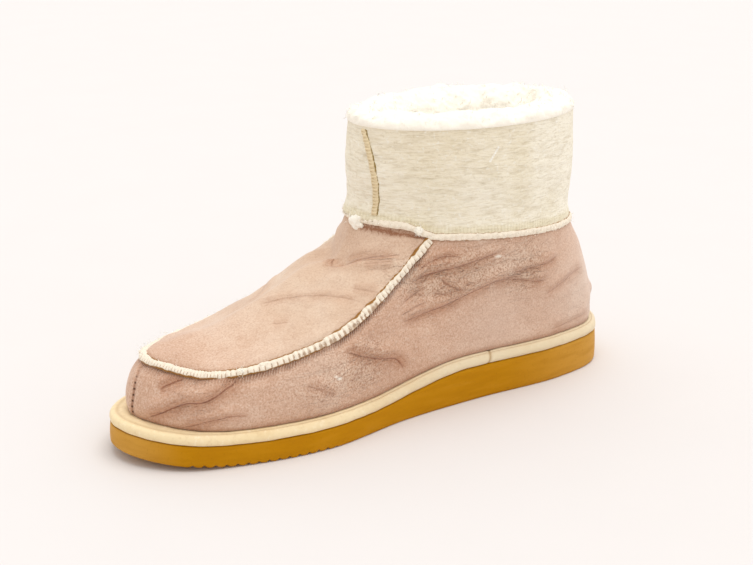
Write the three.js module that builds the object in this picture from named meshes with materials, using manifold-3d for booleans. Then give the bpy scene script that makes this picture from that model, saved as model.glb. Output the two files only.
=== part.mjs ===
// A sheepskin slipper boot for the right foot: gum rubber outsole, wrapped midsole, insole,
// moccasin upper with a raised apron seam, turned-up cuff band with its seams, and a fleece rim.
//
// The boot is worked out in millimetres from the back of its heel: x runs to the toe, +y to the
// inner (medial) side and z up from the floor. The last lines move it so that the origin is under
// the middle of the boot.

import * as THREE from "three";
import Module from "manifold-3d";

const wasm = await Module();
wasm.setup();

// Driving dimensions

const SEAM_GAP = 0.3; // clearance kept between pieces that meet
const FINE_STEPS = 40; // points along a line before it is divided evenly
const STEPS_ROUND = 64; // points around the foot, from heel to toe and back

// Plan of the outsole, from heel to toe: how far along, and the half width to each side.
const SOLE_PLAN = [
  { at: "heel corner", along: 14, inner: 25.8, outer: 25.8 },
  { at: "heel", along: 46, inner: 35.8, outer: 35.8 },
  { at: "waist", along: 98, inner: 36.5, outer: 38.5 },
  { at: "arch", along: 146, inner: 39.9, outer: 45.5 },
  { at: "ball", along: 194, inner: 49.1, outer: 51 },
  { at: "toe joint", along: 233, inner: 45, outer: 44.5 },
  { at: "toe corner", along: 263.5, inner: 35, outer: 28 },
  { at: "toe front", along: 280, inner: 17.5, outer: 10.5 },
];
const HEEL_BACK = { along: 0, side: 0 };
const TOE_TIP = { along: 284, side: 3 };

const OUTSOLE = { heelThickness: 17.4, foreThickness: 10.1, wedgeEnd: 106, wedgeStart: 169 };
const TOE_SPRING = { start: 222, rise: 5.3 };
const MIDSOLE_THICKNESS = 5.4;
const INSOLE_THICKNESS = 4;

// Edge profiles, from the underside to the top: inset from the plan, and height as a share of the
// thickness.
const OUTSOLE_EDGE = [
  { at: "tread", inset: 0.7, share: 0 },
  { at: "lower edge", inset: 0, share: 0.07 },
  { at: "side", inset: 0, share: 0.55 },
  { at: "upper edge", inset: 0.5, share: 1 },
];
const MIDSOLE_EDGE = [
  { at: "base", inset: 1.6, share: 0 },
  { at: "lower roll", inset: 0.6, share: 0.16 },
  { at: "roll", inset: 0.4, share: 0.5 },
  { at: "upper roll", inset: 1.1, share: 0.82 },
  { at: "shoulder", inset: 2.4, share: 0.97 },
  { at: "ledge", inset: 4, share: 1 },
];
const INSOLE_EDGE = [
  { at: "base", inset: 0, share: 0 },
  { at: "side", inset: 0, share: 0.6 },
  { at: "top edge", inset: 1.2, share: 1 },
];

// The upper: its wall, and the rows from the feather line up. The feather line, where the wall
// stands on the midsole, keeps in from the plan, and more so at the toe.
const UPPER = { wall: 2.5, rows: 15 };
const FEATHER_INSET = { sides: 3.6, toe: 8.5, toeStart: 240 };
const INSOLE_CLEARANCE = 0.6;

// The collar, an oval where the cuff is sewn on. Its heights are at the heel and at the front, and
// the tongue lift raises the very front.
const COLLAR = { along: 86.5, side: -1.5, halfLength: 64.5, halfWidth: 41.5 };
const COLLAR_HEIGHT = { back: 81.5, front: 91, tongueLift: 4.6, tongueTurn: 36, seamTurn: 54 };
const COLLAR_CROWDING = { power: 2.3, share: 0.82 };

// The apron seam, by the place of its meridian on the feather line: how high it runs over the
// feather line on the inner and outer sides, as a share of the collar's height there, and how far
// in, as a share of the way to the collar.
const APRON_SEAM = [
  { at: "collar end", along: 132, inner: 1, outer: 1, inward: 1 },
  { at: "instep", along: 153, inner: 0.73, outer: 0.69, inward: 0.33 },
  { at: "waist", along: 169, inner: 0.59, outer: 0.52, inward: 0.19 },
  { at: "ball", along: 190, inner: 0.47, outer: 0.4, inward: 0.125 },
  { at: "toe joint", along: 226, inner: 0.364, outer: 0.3, inward: 0.085 },
  { at: "toe corner", along: 256, inner: 0.322, outer: 0.298, inward: 0.072 },
  { at: "toe", along: 274.5, inner: 0.338, outer: 0.338, inward: 0.07 },
];
// The quarters' wall leans in by a power of its height, and bellies out between foot and top.
const QUARTER_LEAN = [
  { at: "heel", along: 10, power: 1.75, belly: 0.5 },
  { at: "ankle", along: 70, power: 1.7, belly: 0.8 },
  { at: "ball", along: 190, power: 2.2, belly: 1.8 },
  { at: "toe", along: 270, power: 2.4, belly: 0.8 },
];

// The apron's rise from the seam to the collar along a meridian, from the toe and from the sides.
const APRON_RISE = [
  { at: "seam", way: 0, toe: 0, sides: 0 },
  { at: "toe box", way: 0.1, toe: 0.055, sides: 0.1 },
  { at: "toe joint", way: 0.28, toe: 0.13, sides: 0.24 },
  { at: "ball", way: 0.5, toe: 0.28, sides: 0.43 },
  { at: "vamp", way: 0.72, toe: 0.53, sides: 0.64 },
  { at: "instep", way: 0.88, toe: 0.7, sides: 0.77 },
  { at: "throat", way: 0.95, toe: 0.78, sides: 0.84 },
  { at: "collar", way: 1, toe: 1, sides: 1 },
];
const APRON_FRONT = { sides: 200, toe: 268 }; // where the rise goes from the sides' to the toe's

// The cuff band: its rim, and how far it stands out from a straight band, from seam to rim.
const CUFF_RIM = { along: 85.8, side: -1.5, halfLength: 63.5, halfWidth: 41.5, height: 141.8 };
const CUFF_WALL = 3;
const CUFF_SHAPE = [
  { at: "seam", way: 0, out: 0.4 },
  { at: "fold", way: 0.2, out: -0.4 },
  { at: "middle", way: 0.55, out: 0.9 },
  { at: "rim", way: 1, out: 0 },
];

// Raised, overcast seams: width and height of the half-round ridge.
const APRON_RIDGE = { width: 4.4, height: 1.9, round: 128, collarClearance: 4 };
const COLLAR_RIDGE = { width: 4.6, height: 2.2, round: 96 };
const CUFF_RIDGE = {
  width: 3.4,
  height: 1.3,
  footTurn: 19,
  topTurn: 8,
  bow: 5,
  footWay: 0.09,
  topWay: 0.95,
  steps: 8,
};
const RIDGE_ARC_STEPS = 4;
const RIDGE_LIFT = 0.6; // from the form under the seam, so that flats of both stay clear

// The fleece rim inside the cuff, by its section: how far in from the cuff's outside, and how far up
// from the rim. Its locks are soft lumps round the crest.
const FLEECE_SECTION = [
  { at: "foot", inward: 3.5, up: -24 },
  { at: "neck", inward: 3.5, up: 0.3 },
  { at: "over the rim", inward: 1, up: 0.6 },
  { at: "outer crest", inward: 1.4, up: 3.4 },
  { at: "crest", inward: 5, up: 5 },
  { at: "inner crest", inward: 10.5, up: 3.6 },
  { at: "inside", inward: 13.5, up: -5 },
  { at: "inner foot", inward: 12, up: -24 },
];
const LOCKS = { round: 28, radius: 3.2, stretch: 1.9, inward: 7.8, sway: 1.9, up: 3.2, roll: 0.4 };

// Small tools

const { clamp, degToRad, lerp, smoothstep } = THREE.MathUtils;

/** Value of a table's column at a place, as a smooth curve through its rows. */
function lookup(rows, key, column, place) {
  const last = rows.length - 1;
  if (place <= rows[0][key]) return rows[0][column];
  if (place >= rows[last][key]) return rows[last][column];
  const i = rows.findIndex((row) => row[key] > place) - 1;
  const slope = (a, b) => (rows[b][column] - rows[a][column]) / (rows[b][key] - rows[a][key]);
  const span = rows[i + 1][key] - rows[i][key];
  const startSlope = slope(Math.max(i - 1, 0), i + 1) * span;
  const endSlope = slope(i, Math.min(i + 2, last)) * span;
  const t = (place - rows[i][key]) / span;
  const [a, b] = [rows[i][column], rows[i + 1][column]];
  const curve = 2 * a - 2 * b + startSlope + endSlope;
  const bend = 3 * b - 3 * a - 2 * startSlope - endSlope;
  return a + t * (startSlope + t * (bend + t * curve));
}

/** Points at equal steps of length along a polyline. */
function evenly(points, count) {
  const lengths = [0];
  points.slice(1).forEach((p, i) => lengths.push(lengths[i] + p.distanceTo(points[i])));
  const total = lengths[lengths.length - 1];
  let at = 0;
  return Array.from({ length: count }, (_, k) => {
    const wanted = (total * k) / (count - 1);
    while (at < points.length - 2 && lengths[at + 1] < wanted) at += 1;
    const span = lengths[at + 1] - lengths[at] || 1;
    return points[at].clone().lerp(points[at + 1], clamp((wanted - lengths[at]) / span, 0, 1));
  });
}

function lineLength(points) {
  return points.slice(1).reduce((sum, p, i) => sum + p.distanceTo(points[i]), 0);
}

/** Point at a distance from the start of a line of points. */
function pointAlong(points, distance) {
  let left = distance;
  for (let i = 0; i < points.length - 1; i += 1) {
    const span = points[i].distanceTo(points[i + 1]);
    if (span > 0 && left <= span) return points[i].clone().lerp(points[i + 1], left / span);
    left -= span;
  }
  return points[points.length - 1].clone();
}

/** An indexed geometry from points and triangles. */
function geometryOf(points, triangles) {
  const geometry = new THREE.BufferGeometry().setFromPoints(points);
  geometry.setIndex(triangles.flat());
  geometry.computeVertexNormals();
  return geometry;
}

/** Joins two rings of equal count, each of its squares split along the shorter diagonal. */
function bridge(points, triangles, first, second, count) {
  for (let i = 0; i < count; i += 1) {
    const [a, b] = [first + i, first + ((i + 1) % count)];
    const [c, d] = [second + i, second + ((i + 1) % count)];
    if (points[a].distanceTo(points[d]) <= points[b].distanceTo(points[c])) {
      triangles.push([a, b, d], [a, d, c]);
    } else {
      triangles.push([a, b, c], [b, d, c]);
    }
  }
}

/** Closes a ring with strips from its inner side to its outer side. */
function cap(triangles, first, count, up) {
  const add = (a, b, c) => triangles.push(up ? [a, b, c] : [a, c, b]);
  for (let i = 0; i < count / 2; i += 1) {
    const [a, b] = [first + i, first + i + 1];
    const [c, d] = [first + ((count - i) % count), first + count - i - 1];
    if (a !== c) add(a, c, b);
    if (b !== d) add(b, c, d);
  }
}

/** A closed solid from a stack of rings, capped at both ends. */
function stackSolid(rings) {
  const count = rings[0].length;
  const points = rings.flat();
  const triangles = [];
  cap(triangles, 0, count, false);
  rings.slice(1).forEach((_, k) => bridge(points, triangles, (k + 1) * count, k * count, count));
  cap(triangles, (rings.length - 1) * count, count, true);
  return geometryOf(points, triangles);
}

/** A closed ring-shaped solid from rings that follow each other round its wall. */
function ringSolid(rings) {
  const count = rings[0].length;
  const points = rings.flat();
  const triangles = [];
  rings.forEach((_, k) => bridge(points, triangles, ((k + 1) % rings.length) * count, k * count, count));
  return geometryOf(points, triangles);
}

/** A closed loop from sections round a path, each a closed loop of the same count. */
function loopSolid(sections) {
  return ringSolid([...sections].reverse());
}

/** A closed bar from sections along a path, each a closed loop that ends with its joint point. */
function barSolid(sections) {
  const count = sections[0].length;
  const points = sections.flat();
  const triangles = [];
  sections.slice(1).forEach((_, k) => bridge(points, triangles, k * count, (k + 1) * count, count));
  const end = (sections.length - 1) * count;
  const joint = count - 1;
  for (let i = 0; i < joint - 1; i += 1) {
    triangles.push([joint, i + 1, i], [end + joint, end + i, end + i + 1]);
  }
  return geometryOf(points, triangles);
}

// Sole plan and heights

const soleSides = (() => {
  const inner = SOLE_PLAN.map((row) => new THREE.Vector3(row.along, row.inner, 0));
  const outer = SOLE_PLAN.map((row) => new THREE.Vector3(row.along, -row.outer, 0)).reverse();
  const heel = new THREE.Vector3(HEEL_BACK.along, HEEL_BACK.side, 0);
  const toe = new THREE.Vector3(TOE_TIP.along, TOE_TIP.side, 0);
  const curve = new THREE.CatmullRomCurve3([heel, ...inner, toe, ...outer], true, "centripetal");
  const fine = curve.getPoints(40 * (2 * SOLE_PLAN.length + 2));
  const toeAt = (fine.length - 1) / 2;
  return { inner: fine.slice(0, toeAt + 1), outer: fine.slice(toeAt).reverse() };
})();

/** The sole plan, inset by place: points from the heel along the inner side to the toe and back. */
function planRing(insetAt, count = STEPS_ROUND) {
  const inner = evenly(soleSides.inner, count / 2 + 1);
  const outer = evenly(soleSides.outer, count / 2 + 1);
  const ring = [...inner, ...outer.slice(1, -1).reverse()];
  return ring.map((p, i) => {
    const before = ring[(i + count - 1) % count];
    const after = ring[(i + 1) % count];
    const ahead = after.clone().sub(before).normalize();
    const inset = insetAt(p.x);
    return new THREE.Vector3(p.x + ahead.y * inset, p.y - ahead.x * inset, 0);
  });
}

function treadHeight(x) {
  const way = (x - TOE_SPRING.start) / (TOE_TIP.along - TOE_SPRING.start);
  return TOE_SPRING.rise * clamp(way, 0, 1) ** 2;
}

function outsoleThickness(x) {
  const way = smoothstep(x, OUTSOLE.wedgeEnd, OUTSOLE.wedgeStart);
  return lerp(OUTSOLE.heelThickness, OUTSOLE.foreThickness, way);
}

function featherInset(x) {
  const way = smoothstep(x, FEATHER_INSET.toeStart, TOE_TIP.along);
  return lerp(FEATHER_INSET.sides, FEATHER_INSET.toe, way);
}

const outsoleTop = (x) => treadHeight(x) + outsoleThickness(x);
const midsoleTop = (x) => outsoleTop(x) + SEAM_GAP + MIDSOLE_THICKNESS;
const featherHeight = (x) => midsoleTop(x) + SEAM_GAP;

/** A sole layer: its edge profile carried round the plan. */
function soleLayer(edge, baseInset, base, thickness) {
  const rings = edge.map(({ inset, share }) => {
    const ring = planRing((x) => baseInset(x) + inset);
    return ring.map((p) => p.setZ(base(p.x) + share * thickness(p.x)));
  });
  return stackSolid(rings);
}

// The upper's form

/** Share of the collar's half turn reached at a share of the way from heel to toe. */
function collarShare(way) {
  const crowded = 1 - (1 - way) ** COLLAR_CROWDING.power;
  return lerp(way, crowded, COLLAR_CROWDING.share);
}

/** Point of an oval, by its turn from the front. */
function ovalPoint(oval, turn) {
  const x = oval.along + oval.halfLength * Math.cos(turn);
  const y = oval.side + oval.halfWidth * Math.sin(turn);
  return new THREE.Vector3(x, y, 0);
}

/** Turn from the front of the collar at a step round the foot. */
function collarTurn(step, count = STEPS_ROUND) {
  const half = count / 2;
  const way = step <= half ? step / half : (count - step) / half;
  return (step <= half ? 1 : -1) * Math.PI * (1 - collarShare(way));
}

function collarHeight(turn) {
  const forward = (1 + Math.cos(turn)) / 2;
  const seamEnd = Math.cos(degToRad(COLLAR_HEIGHT.seamTurn));
  const tongueEnd = Math.cos(degToRad(COLLAR_HEIGHT.tongueTurn));
  const tongue = smoothstep(Math.cos(turn), seamEnd, tongueEnd);
  return lerp(COLLAR_HEIGHT.back, COLLAR_HEIGHT.front, forward) + COLLAR_HEIGHT.tongueLift * tongue;
}

function collarPoint(turn) {
  return ovalPoint(COLLAR, turn).setZ(collarHeight(turn));
}

/**
 * One meridian of the upper's outside, from the feather line up the quarter to the apron seam and
 * over the apron to the collar. The quarter turns over as an arc, and the apron rises by its table.
 */
function meridian(foot, outward, turn) {
  const collar = collarPoint(turn);
  const full = collar.z - foot.z;
  const height = full * lookup(APRON_SEAM, "along", outward.y > 0 ? "inner" : "outer", foot.x);
  const inward = lookup(APRON_SEAM, "along", "inward", foot.x);
  const lean = lookup(QUARTER_LEAN, "along", "power", foot.x);
  const belly = lookup(QUARTER_LEAN, "along", "belly", foot.x);
  const across = collar.clone().sub(foot).setZ(0);
  const quarter = [];
  for (let k = 0; k <= FINE_STEPS; k += 1) {
    const rise = k / FINE_STEPS;
    const point = foot.clone().addScaledVector(across, inward * rise ** lean);
    point.addScaledVector(outward, belly * Math.sin(Math.PI * rise));
    quarter.push(point.setZ(foot.z + height * rise));
  }
  const seam = quarter[FINE_STEPS];
  const front = smoothstep(foot.x, APRON_FRONT.sides, APRON_FRONT.toe);
  const apron = [];
  for (let k = 0; k <= FINE_STEPS; k += 1) {
    const way = k / FINE_STEPS;
    const fromToe = lookup(APRON_RISE, "way", "toe", way);
    const fromSides = lookup(APRON_RISE, "way", "sides", way);
    const point = seam.clone().lerp(collar, way);
    apron.push(point.setZ(lerp(seam.z, collar.z, lerp(fromSides, fromToe, front))));
  }
  return { quarter, apron };
}

/** The upper's outside as meridians round the foot. */
function upperMeridians(count) {
  const feather = planRing(featherInset, count);
  return feather.map((p, i) => {
    const before = feather[(i + count - 1) % count];
    const after = feather[(i + 1) % count];
    const ahead = after.clone().sub(before).normalize();
    const outward = new THREE.Vector3(-ahead.y, ahead.x, 0);
    const foot = p.clone().setZ(featherHeight(p.x));
    return meridian(foot, outward, collarTurn(i, count));
  });
}

/** Points of one meridian from feather to collar, one of them on the apron seam. */
function dividedMeridian({ quarter, apron }) {
  const share = lineLength(quarter) / (lineLength(quarter) + lineLength(apron));
  const wallRows = clamp(Math.round(share * UPPER.rows), 2, UPPER.rows);
  const lower = evenly(quarter, wallRows + 1);
  if (wallRows === UPPER.rows) return lower;
  return [...lower, ...evenly(apron, UPPER.rows - wallRows + 1).slice(1)];
}

const upperLines = upperMeridians(STEPS_ROUND).map(dividedMeridian);
const upperRings = upperLines[0].map((_, row) => upperLines.map((line) => line[row]));

/** Outward normals of a grid of rings that rise along the second index. */
function ringNormals(rings) {
  const count = rings[0].length;
  return rings.map((ring, row) =>
    ring.map((_, i) => {
      const around = ring[(i + 1) % count].clone().sub(ring[(i + count - 1) % count]);
      const below = rings[Math.max(row - 1, 0)][i];
      const above = rings[Math.min(row + 1, rings.length - 1)][i];
      const normal = above.clone().sub(below).cross(around).normalize();
      const atRim = row === 0 || row === rings.length - 1;
      return atRim ? normal.setZ(0).normalize() : normal;
    }),
  );
}

const shifted = (rings, normals, distance) =>
  rings.map((ring, row) => ring.map((p, i) => p.clone().addScaledVector(normals[row][i], distance)));

/** A wall of one thickness inside a grid of rings, open at both ends. */
function wallSolid(rings, thickness) {
  const inside = shifted(rings, ringNormals(rings), -thickness);
  return ringSolid([...rings, ...inside.reverse()]);
}

// The cuff

/** Outward direction of the cuff's oval at a turn from the front. */
function cuffOutward(turn) {
  const x = Math.cos(turn) / CUFF_RIM.halfLength;
  const y = Math.sin(turn) / CUFF_RIM.halfWidth;
  return new THREE.Vector3(x, y, 0).normalize();
}

/** Point of the cuff's outside, by turn from the front and share of the way from seam to rim. */
function cuffPoint(turn, way) {
  const foot = collarPoint(turn);
  foot.z += SEAM_GAP;
  const rim = ovalPoint(CUFF_RIM, turn).setZ(CUFF_RIM.height);
  const out = lookup(CUFF_SHAPE, "way", "out", way);
  return foot.lerp(rim, way).addScaledVector(cuffOutward(turn), out);
}

const turnsRound = Array.from({ length: STEPS_ROUND }, (_, i) => Math.PI - (2 * Math.PI * i) / STEPS_ROUND);
const cuffRings = CUFF_SHAPE.map(({ way }) => turnsRound.map((turn) => cuffPoint(turn, way)));

// Raised seams

/** A half-round ridge section over a joint, from the point below it over the joint to the one above. */
function ridgeSection(below, joint, above, out, height) {
  const section = [];
  for (let k = 0; k <= RIDGE_ARC_STEPS; k += 1) {
    const angle = (Math.PI * k) / RIDGE_ARC_STEPS;
    const point = below.clone().lerp(above, (1 - Math.cos(angle)) / 2);
    section.push(point.addScaledVector(out, RIDGE_LIFT + Math.sin(angle) * height));
  }
  section.push(joint.clone().addScaledVector(out, RIDGE_LIFT));
  return section;
}

/** Sections of the apron seam, from the inner end of the collar round the toe to the outer end. */
function apronSections() {
  const { width, height, collarClearance } = APRON_RIDGE;
  const lines = upperMeridians(APRON_RIDGE.round);
  const long = lines.filter(({ apron }) => lineLength(apron) > collarClearance);
  const seams = long.map(({ apron }) => apron[0]);
  return long.map(({ quarter, apron }, i) => {
    const ahead = seams[Math.min(i + 1, seams.length - 1)].clone().sub(seams[Math.max(i - 1, 0)]);
    const below = pointAlong([...quarter].reverse(), width / 2);
    const above = pointAlong(apron, width / 2);
    const out = above.clone().sub(below).cross(ahead).normalize();
    return ridgeSection(below, apron[0], above, out, height);
  });
}

/** Sections of the seam between upper and cuff, round the collar. */
function collarSections() {
  const { width, height, round } = COLLAR_RIDGE;
  return upperMeridians(round).map(({ quarter, apron }, i) => {
    const turn = collarTurn(i, round);
    const below = pointAlong([...quarter, ...apron].reverse(), width / 2);
    const joint = cuffPoint(turn, 0);
    const above = cuffPoint(turn, width / 2 / (CUFF_RIM.height - joint.z));
    const out = cuffOutward(turn);
    return ridgeSection(below, joint, above, out, height);
  });
}

/** Sections of the cuff's closing seam, from above the collar seam to below the rim. */
function cuffSeamSections() {
  const { width, height, footTurn, topTurn, bow, footWay, topWay, steps } = CUFF_RIDGE;
  return Array.from({ length: steps + 1 }, (_, k) => {
    const share = k / steps;
    const way = lerp(footWay, topWay, share);
    const turn = degToRad(lerp(footTurn, topTurn, share) + bow * Math.sin(Math.PI * share));
    const halfTurn = width / 2 / COLLAR.halfWidth;
    const below = cuffPoint(turn - halfTurn, way);
    const above = cuffPoint(turn + halfTurn, way);
    return ridgeSection(below, cuffPoint(turn, way), above, cuffOutward(turn), height);
  });
}

// The fleece rim

function fleecePoint(turn, inward, up) {
  const rim = ovalPoint(CUFF_RIM, turn).setZ(CUFF_RIM.height + up);
  return rim.addScaledVector(cuffOutward(turn), -inward);
}

const toSolid = (geometry) => {
  const vertProperties = new Float32Array(geometry.getAttribute("position").array);
  const triVerts = new Uint32Array(geometry.index.array);
  const mesh = new wasm.Mesh({ numProp: 3, vertProperties, triVerts });
  mesh.merge();
  return new wasm.Manifold(mesh);
};

/** A lock of wool: a lump drawn out along the rim and leaning over it. */
function lockGeometry(index) {
  const turn = (2 * Math.PI * index) / LOCKS.round;
  const sway = Math.sin(index * 2.4);
  const centre = fleecePoint(turn, LOCKS.inward + LOCKS.sway * sway, LOCKS.up);
  const lump = new THREE.SphereGeometry(LOCKS.radius * (1 + 0.18 * Math.sin(index * 4.1)), 7, 4);
  lump.scale(1, LOCKS.stretch, 1);
  lump.rotateX(LOCKS.roll * sway);
  lump.rotateZ(Math.atan2(cuffOutward(turn).y, cuffOutward(turn).x));
  return lump.translate(centre.x, centre.y, centre.z);
}

function fleeceGeometry() {
  const rings = FLEECE_SECTION.map(({ inward, up }) => turnsRound.map((turn) => fleecePoint(turn, inward, up)));
  const locks = Array.from({ length: LOCKS.round }, (_, i) => toSolid(lockGeometry(i)));
  const { vertProperties, triVerts } = wasm.Manifold.union([toSolid(ringSolid(rings)), ...locks]).getMesh();
  const geometry = new THREE.BufferGeometry();
  geometry.setAttribute("position", new THREE.BufferAttribute(vertProperties, 3));
  geometry.setIndex(new THREE.BufferAttribute(triVerts, 1));
  geometry.computeVertexNormals();
  return geometry;
}

// The boot

const boot = new THREE.Group();

function addPiece(name, geometry, colour, roughness) {
  const material = new THREE.MeshStandardMaterial({ color: colour, roughness, metalness: 0 });
  const mesh = new THREE.Mesh(geometry, material);
  mesh.name = name;
  boot.add(mesh);
}

const flush = () => 0;
const midsoleBase = (x) => outsoleTop(x) + SEAM_GAP;
const insoleInset = (x) => featherInset(x) + UPPER.wall + INSOLE_CLEARANCE;
const outsole = soleLayer(OUTSOLE_EDGE, flush, treadHeight, outsoleThickness);
const midsole = soleLayer(MIDSOLE_EDGE, flush, midsoleBase, () => MIDSOLE_THICKNESS);
const insole = soleLayer(INSOLE_EDGE, insoleInset, featherHeight, () => INSOLE_THICKNESS);

addPiece("outsole", outsole, 0xbf8420, 0.6);
addPiece("midsole", midsole, 0xf3e3b4, 0.75);
addPiece("insole", insole, 0xf6efdd, 0.95);
addPiece("upper", wallSolid(upperRings, UPPER.wall), 0xc9a78f, 0.85);
addPiece("apron_seam", barSolid(apronSections()), 0xe9d9c3, 0.9);
addPiece("collar_seam", loopSolid(collarSections()), 0xeee2cb, 0.9);
addPiece("cuff", wallSolid(cuffRings, CUFF_WALL), 0xe9dfc4, 0.85);
addPiece("cuff_seam", barSolid(cuffSeamSections()), 0xd9c39a, 0.9);
addPiece("fleece_collar", fleeceGeometry(), 0xf8f3e4, 0.95);

// The origin goes under the middle of the boot, which is as long and as wide as its outsole.
const size = new THREE.Box3().setFromBufferAttribute(outsole.getAttribute("position"));
const middle = size.getCenter(new THREE.Vector3());
boot.children.forEach((piece) => piece.geometry.translate(-middle.x, -middle.y, 0));

export default boot;
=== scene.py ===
"""A sheepskin slipper boot for the right foot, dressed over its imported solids.

Shapes are worked out in millimetres from the back of the heel, as whole arrays: x runs to the toe,
+y to the inner side and z up from the floor. They move to the solids' frame, in metres, when their
mesh is made.
"""

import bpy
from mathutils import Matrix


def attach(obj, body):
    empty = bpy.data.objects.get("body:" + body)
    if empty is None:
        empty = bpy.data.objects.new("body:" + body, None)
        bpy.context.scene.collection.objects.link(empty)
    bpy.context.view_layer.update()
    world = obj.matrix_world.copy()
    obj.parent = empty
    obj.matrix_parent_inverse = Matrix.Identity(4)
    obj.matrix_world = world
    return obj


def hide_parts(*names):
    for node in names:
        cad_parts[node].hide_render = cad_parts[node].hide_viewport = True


bl_info = {
    "name": "Sheepskin slipper boot",
    "version": (1, 0, 0),
    "blender": (4, 5, 0),
    "location": "View3D > Sidebar > Boot",
    "description": "Dresses the solids of a sheepskin slipper boot with skin, seams, wool and rubber",
    "category": "Add Mesh",
}

from functools import partial

import bpy
import numpy as np
from bpy.props import FloatProperty, FloatVectorProperty, IntProperty, PointerProperty

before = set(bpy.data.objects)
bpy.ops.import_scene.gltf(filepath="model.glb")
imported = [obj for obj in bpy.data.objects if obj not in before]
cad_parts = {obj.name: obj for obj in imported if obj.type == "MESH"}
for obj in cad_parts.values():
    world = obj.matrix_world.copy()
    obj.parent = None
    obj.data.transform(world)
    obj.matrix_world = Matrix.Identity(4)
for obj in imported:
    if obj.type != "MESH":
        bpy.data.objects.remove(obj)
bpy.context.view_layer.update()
MM = 1000  # millimetres in a metre
BODY = "root"
FAR = 9  # millimetres beyond which a crease is out of reach
# Sockets of a Mix node of colours.
MIX_FACTOR, MIX_UNDER, MIX_OVER, MIX_RESULT = 0, 6, 7, 2


def table(columns, *rows):
    """Rows of numbers with named columns."""
    return np.array(list(rows), dtype=[(name, float) for name in columns.split()])


# Sizes of the boot, in millimetres

SEAM_GAP = 0.3
SOLE_PLAN = table(
    "along inner outer",
    (14, 25.8, 25.8),
    (46, 35.8, 35.8),
    (98, 36.5, 38.5),
    (146, 39.9, 45.5),
    (194, 49.1, 51),
    (233, 45, 44.5),
    (263.5, 35, 28),
    (280, 17.5, 10.5),
)
HEEL_BACK = (0, 0)
TOE_TIP = (284, 3)
OUTSOLE = {"heel": 17.4, "fore": 10.1, "wedge_end": 106, "wedge_start": 169}
TOE_SPRING = {"start": 222, "rise": 5.3}
MIDSOLE_THICKNESS = 5.4
INSOLE_THICKNESS = 4
INSOLE_CLEARANCE = 0.6
OUTSOLE_EDGE = table("share inset", (0, 0.7), (0.07, 0), (0.55, 0), (1, 0.5))
RAND = table(
    "share inset reach height",
    (0, 1.4, 0, 0),
    (0.1, 0.6, 0, 0.4),
    (0.25, 0.15, 0, 1.6),
    (0.4, 0.35, 0, 3),
    (0.55, 1.1, 0, 4.3),
    (0.68, 2.1, 0.1, 5),
    (0.76, 2.7, 0.25, 4.9),
    (0.84, 3.1, 0.55, 5.3),
    (0.92, 3.7, 0.85, 5.5),
    (1, 4.6, 1, 5.4),
)
INSOLE_EDGE = table("share inset", (0, 0), (0.6, 0), (1, 1.2))
# Where the rand's groove lies up its edge, where its wrap is joined and where it is aged.
RAND_GROOVE = 0.76
RAND_JOINT = 92
AGED_RAND = (110, 215)
# Where along the foot the tread's ribs come and go, and where across it they end under the heel.
FORE_RIBS = (186, 196, 258, 266)
HEEL_RIBS = (14, 20, 84, 90)
HEEL_RIB_ENDS = (0.72, 0.8)
# Where the outsole is paler.
PALE_HEEL = (6, 90)
PALE_TOE = (262, 283)

UPPER_WALL = 2.5
FEATHER_INSET = {"sides": 3.6, "toe": 8.5, "toe_start": 240}
COLLAR = {"along": 86.5, "side": -1.5, "half_length": 64.5, "half_width": 41.5}
COLLAR_HEIGHT = {"back": 81.5, "front": 91, "tongue_lift": 4.6, "tongue_turn": 36, "seam_turn": 54}
COLLAR_CROWDING = {"power": 2.3, "share": 0.82}
APRON_SEAM = table(
    "along inner outer inward",
    (132, 1, 1, 1),
    (153, 0.73, 0.69, 0.33),
    (169, 0.59, 0.52, 0.19),
    (190, 0.47, 0.4, 0.125),
    (226, 0.364, 0.3, 0.085),
    (256, 0.322, 0.298, 0.072),
    (274.5, 0.338, 0.338, 0.07),
)
QUARTER_LEAN = table("along power belly", (10, 1.75, 0.5), (70, 1.7, 0.8), (190, 2.2, 1.8), (270, 2.4, 0.8))
APRON_RISE = table(
    "way toe sides",
    (0, 0, 0),
    (0.1, 0.055, 0.1),
    (0.28, 0.13, 0.24),
    (0.5, 0.28, 0.43),
    (0.72, 0.53, 0.64),
    (0.88, 0.7, 0.77),
    (0.95, 0.78, 0.84),
    (1, 1, 1),
)
APRON_FRONT = (200, 268)
CUFF_RIM = {"along": 85.8, "side": -1.5, "half_length": 63.5, "half_width": 41.5, "height": 141.8}
CUFF_WALL = 3
CUFF_SHAPE = table("way out", (0, 0.4), (0.2, -0.4), (0.55, 0.9), (1, 0))
CUFF_SEAM = {"foot_turn": 19, "top_turn": 8, "bow": 5}
CUFF_SIDE_HEIGHT = 52  # about how high the band stands at its sides
# One slanting fold beside the cuff's front, as lengths round the cuff and up it.
CUFF_FOLD = {"turn": 0.05, "radius": 40, "height": 46, "start": 4, "slant": 1.1, "depth": 0.9, "width": 2.2}
# Where along the foot the apron is gathered closer, and where its stitches stand apart.
TOE_GATHER = (228, 250)
STITCHES_APART = (152, 164, 205, 222)
LINING_GAP = 0.5  # between the walls and the lining's back
FLEECE_SECTION = np.array(
    [
        (3.4, -24),
        (3.4, -8),
        (3.1, -0.8),
        (-0.2, -0.5),
        (-0.5, 0.9),
        (0.0, 3.0),
        (4.5, 5.8),
        (11, 6.2),
        (18, 2.5),
        (24, -4),
        (26, -13),
        (18, -25),
    ]
)

# Rows and columns of the grids, and counts of the wool

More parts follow.
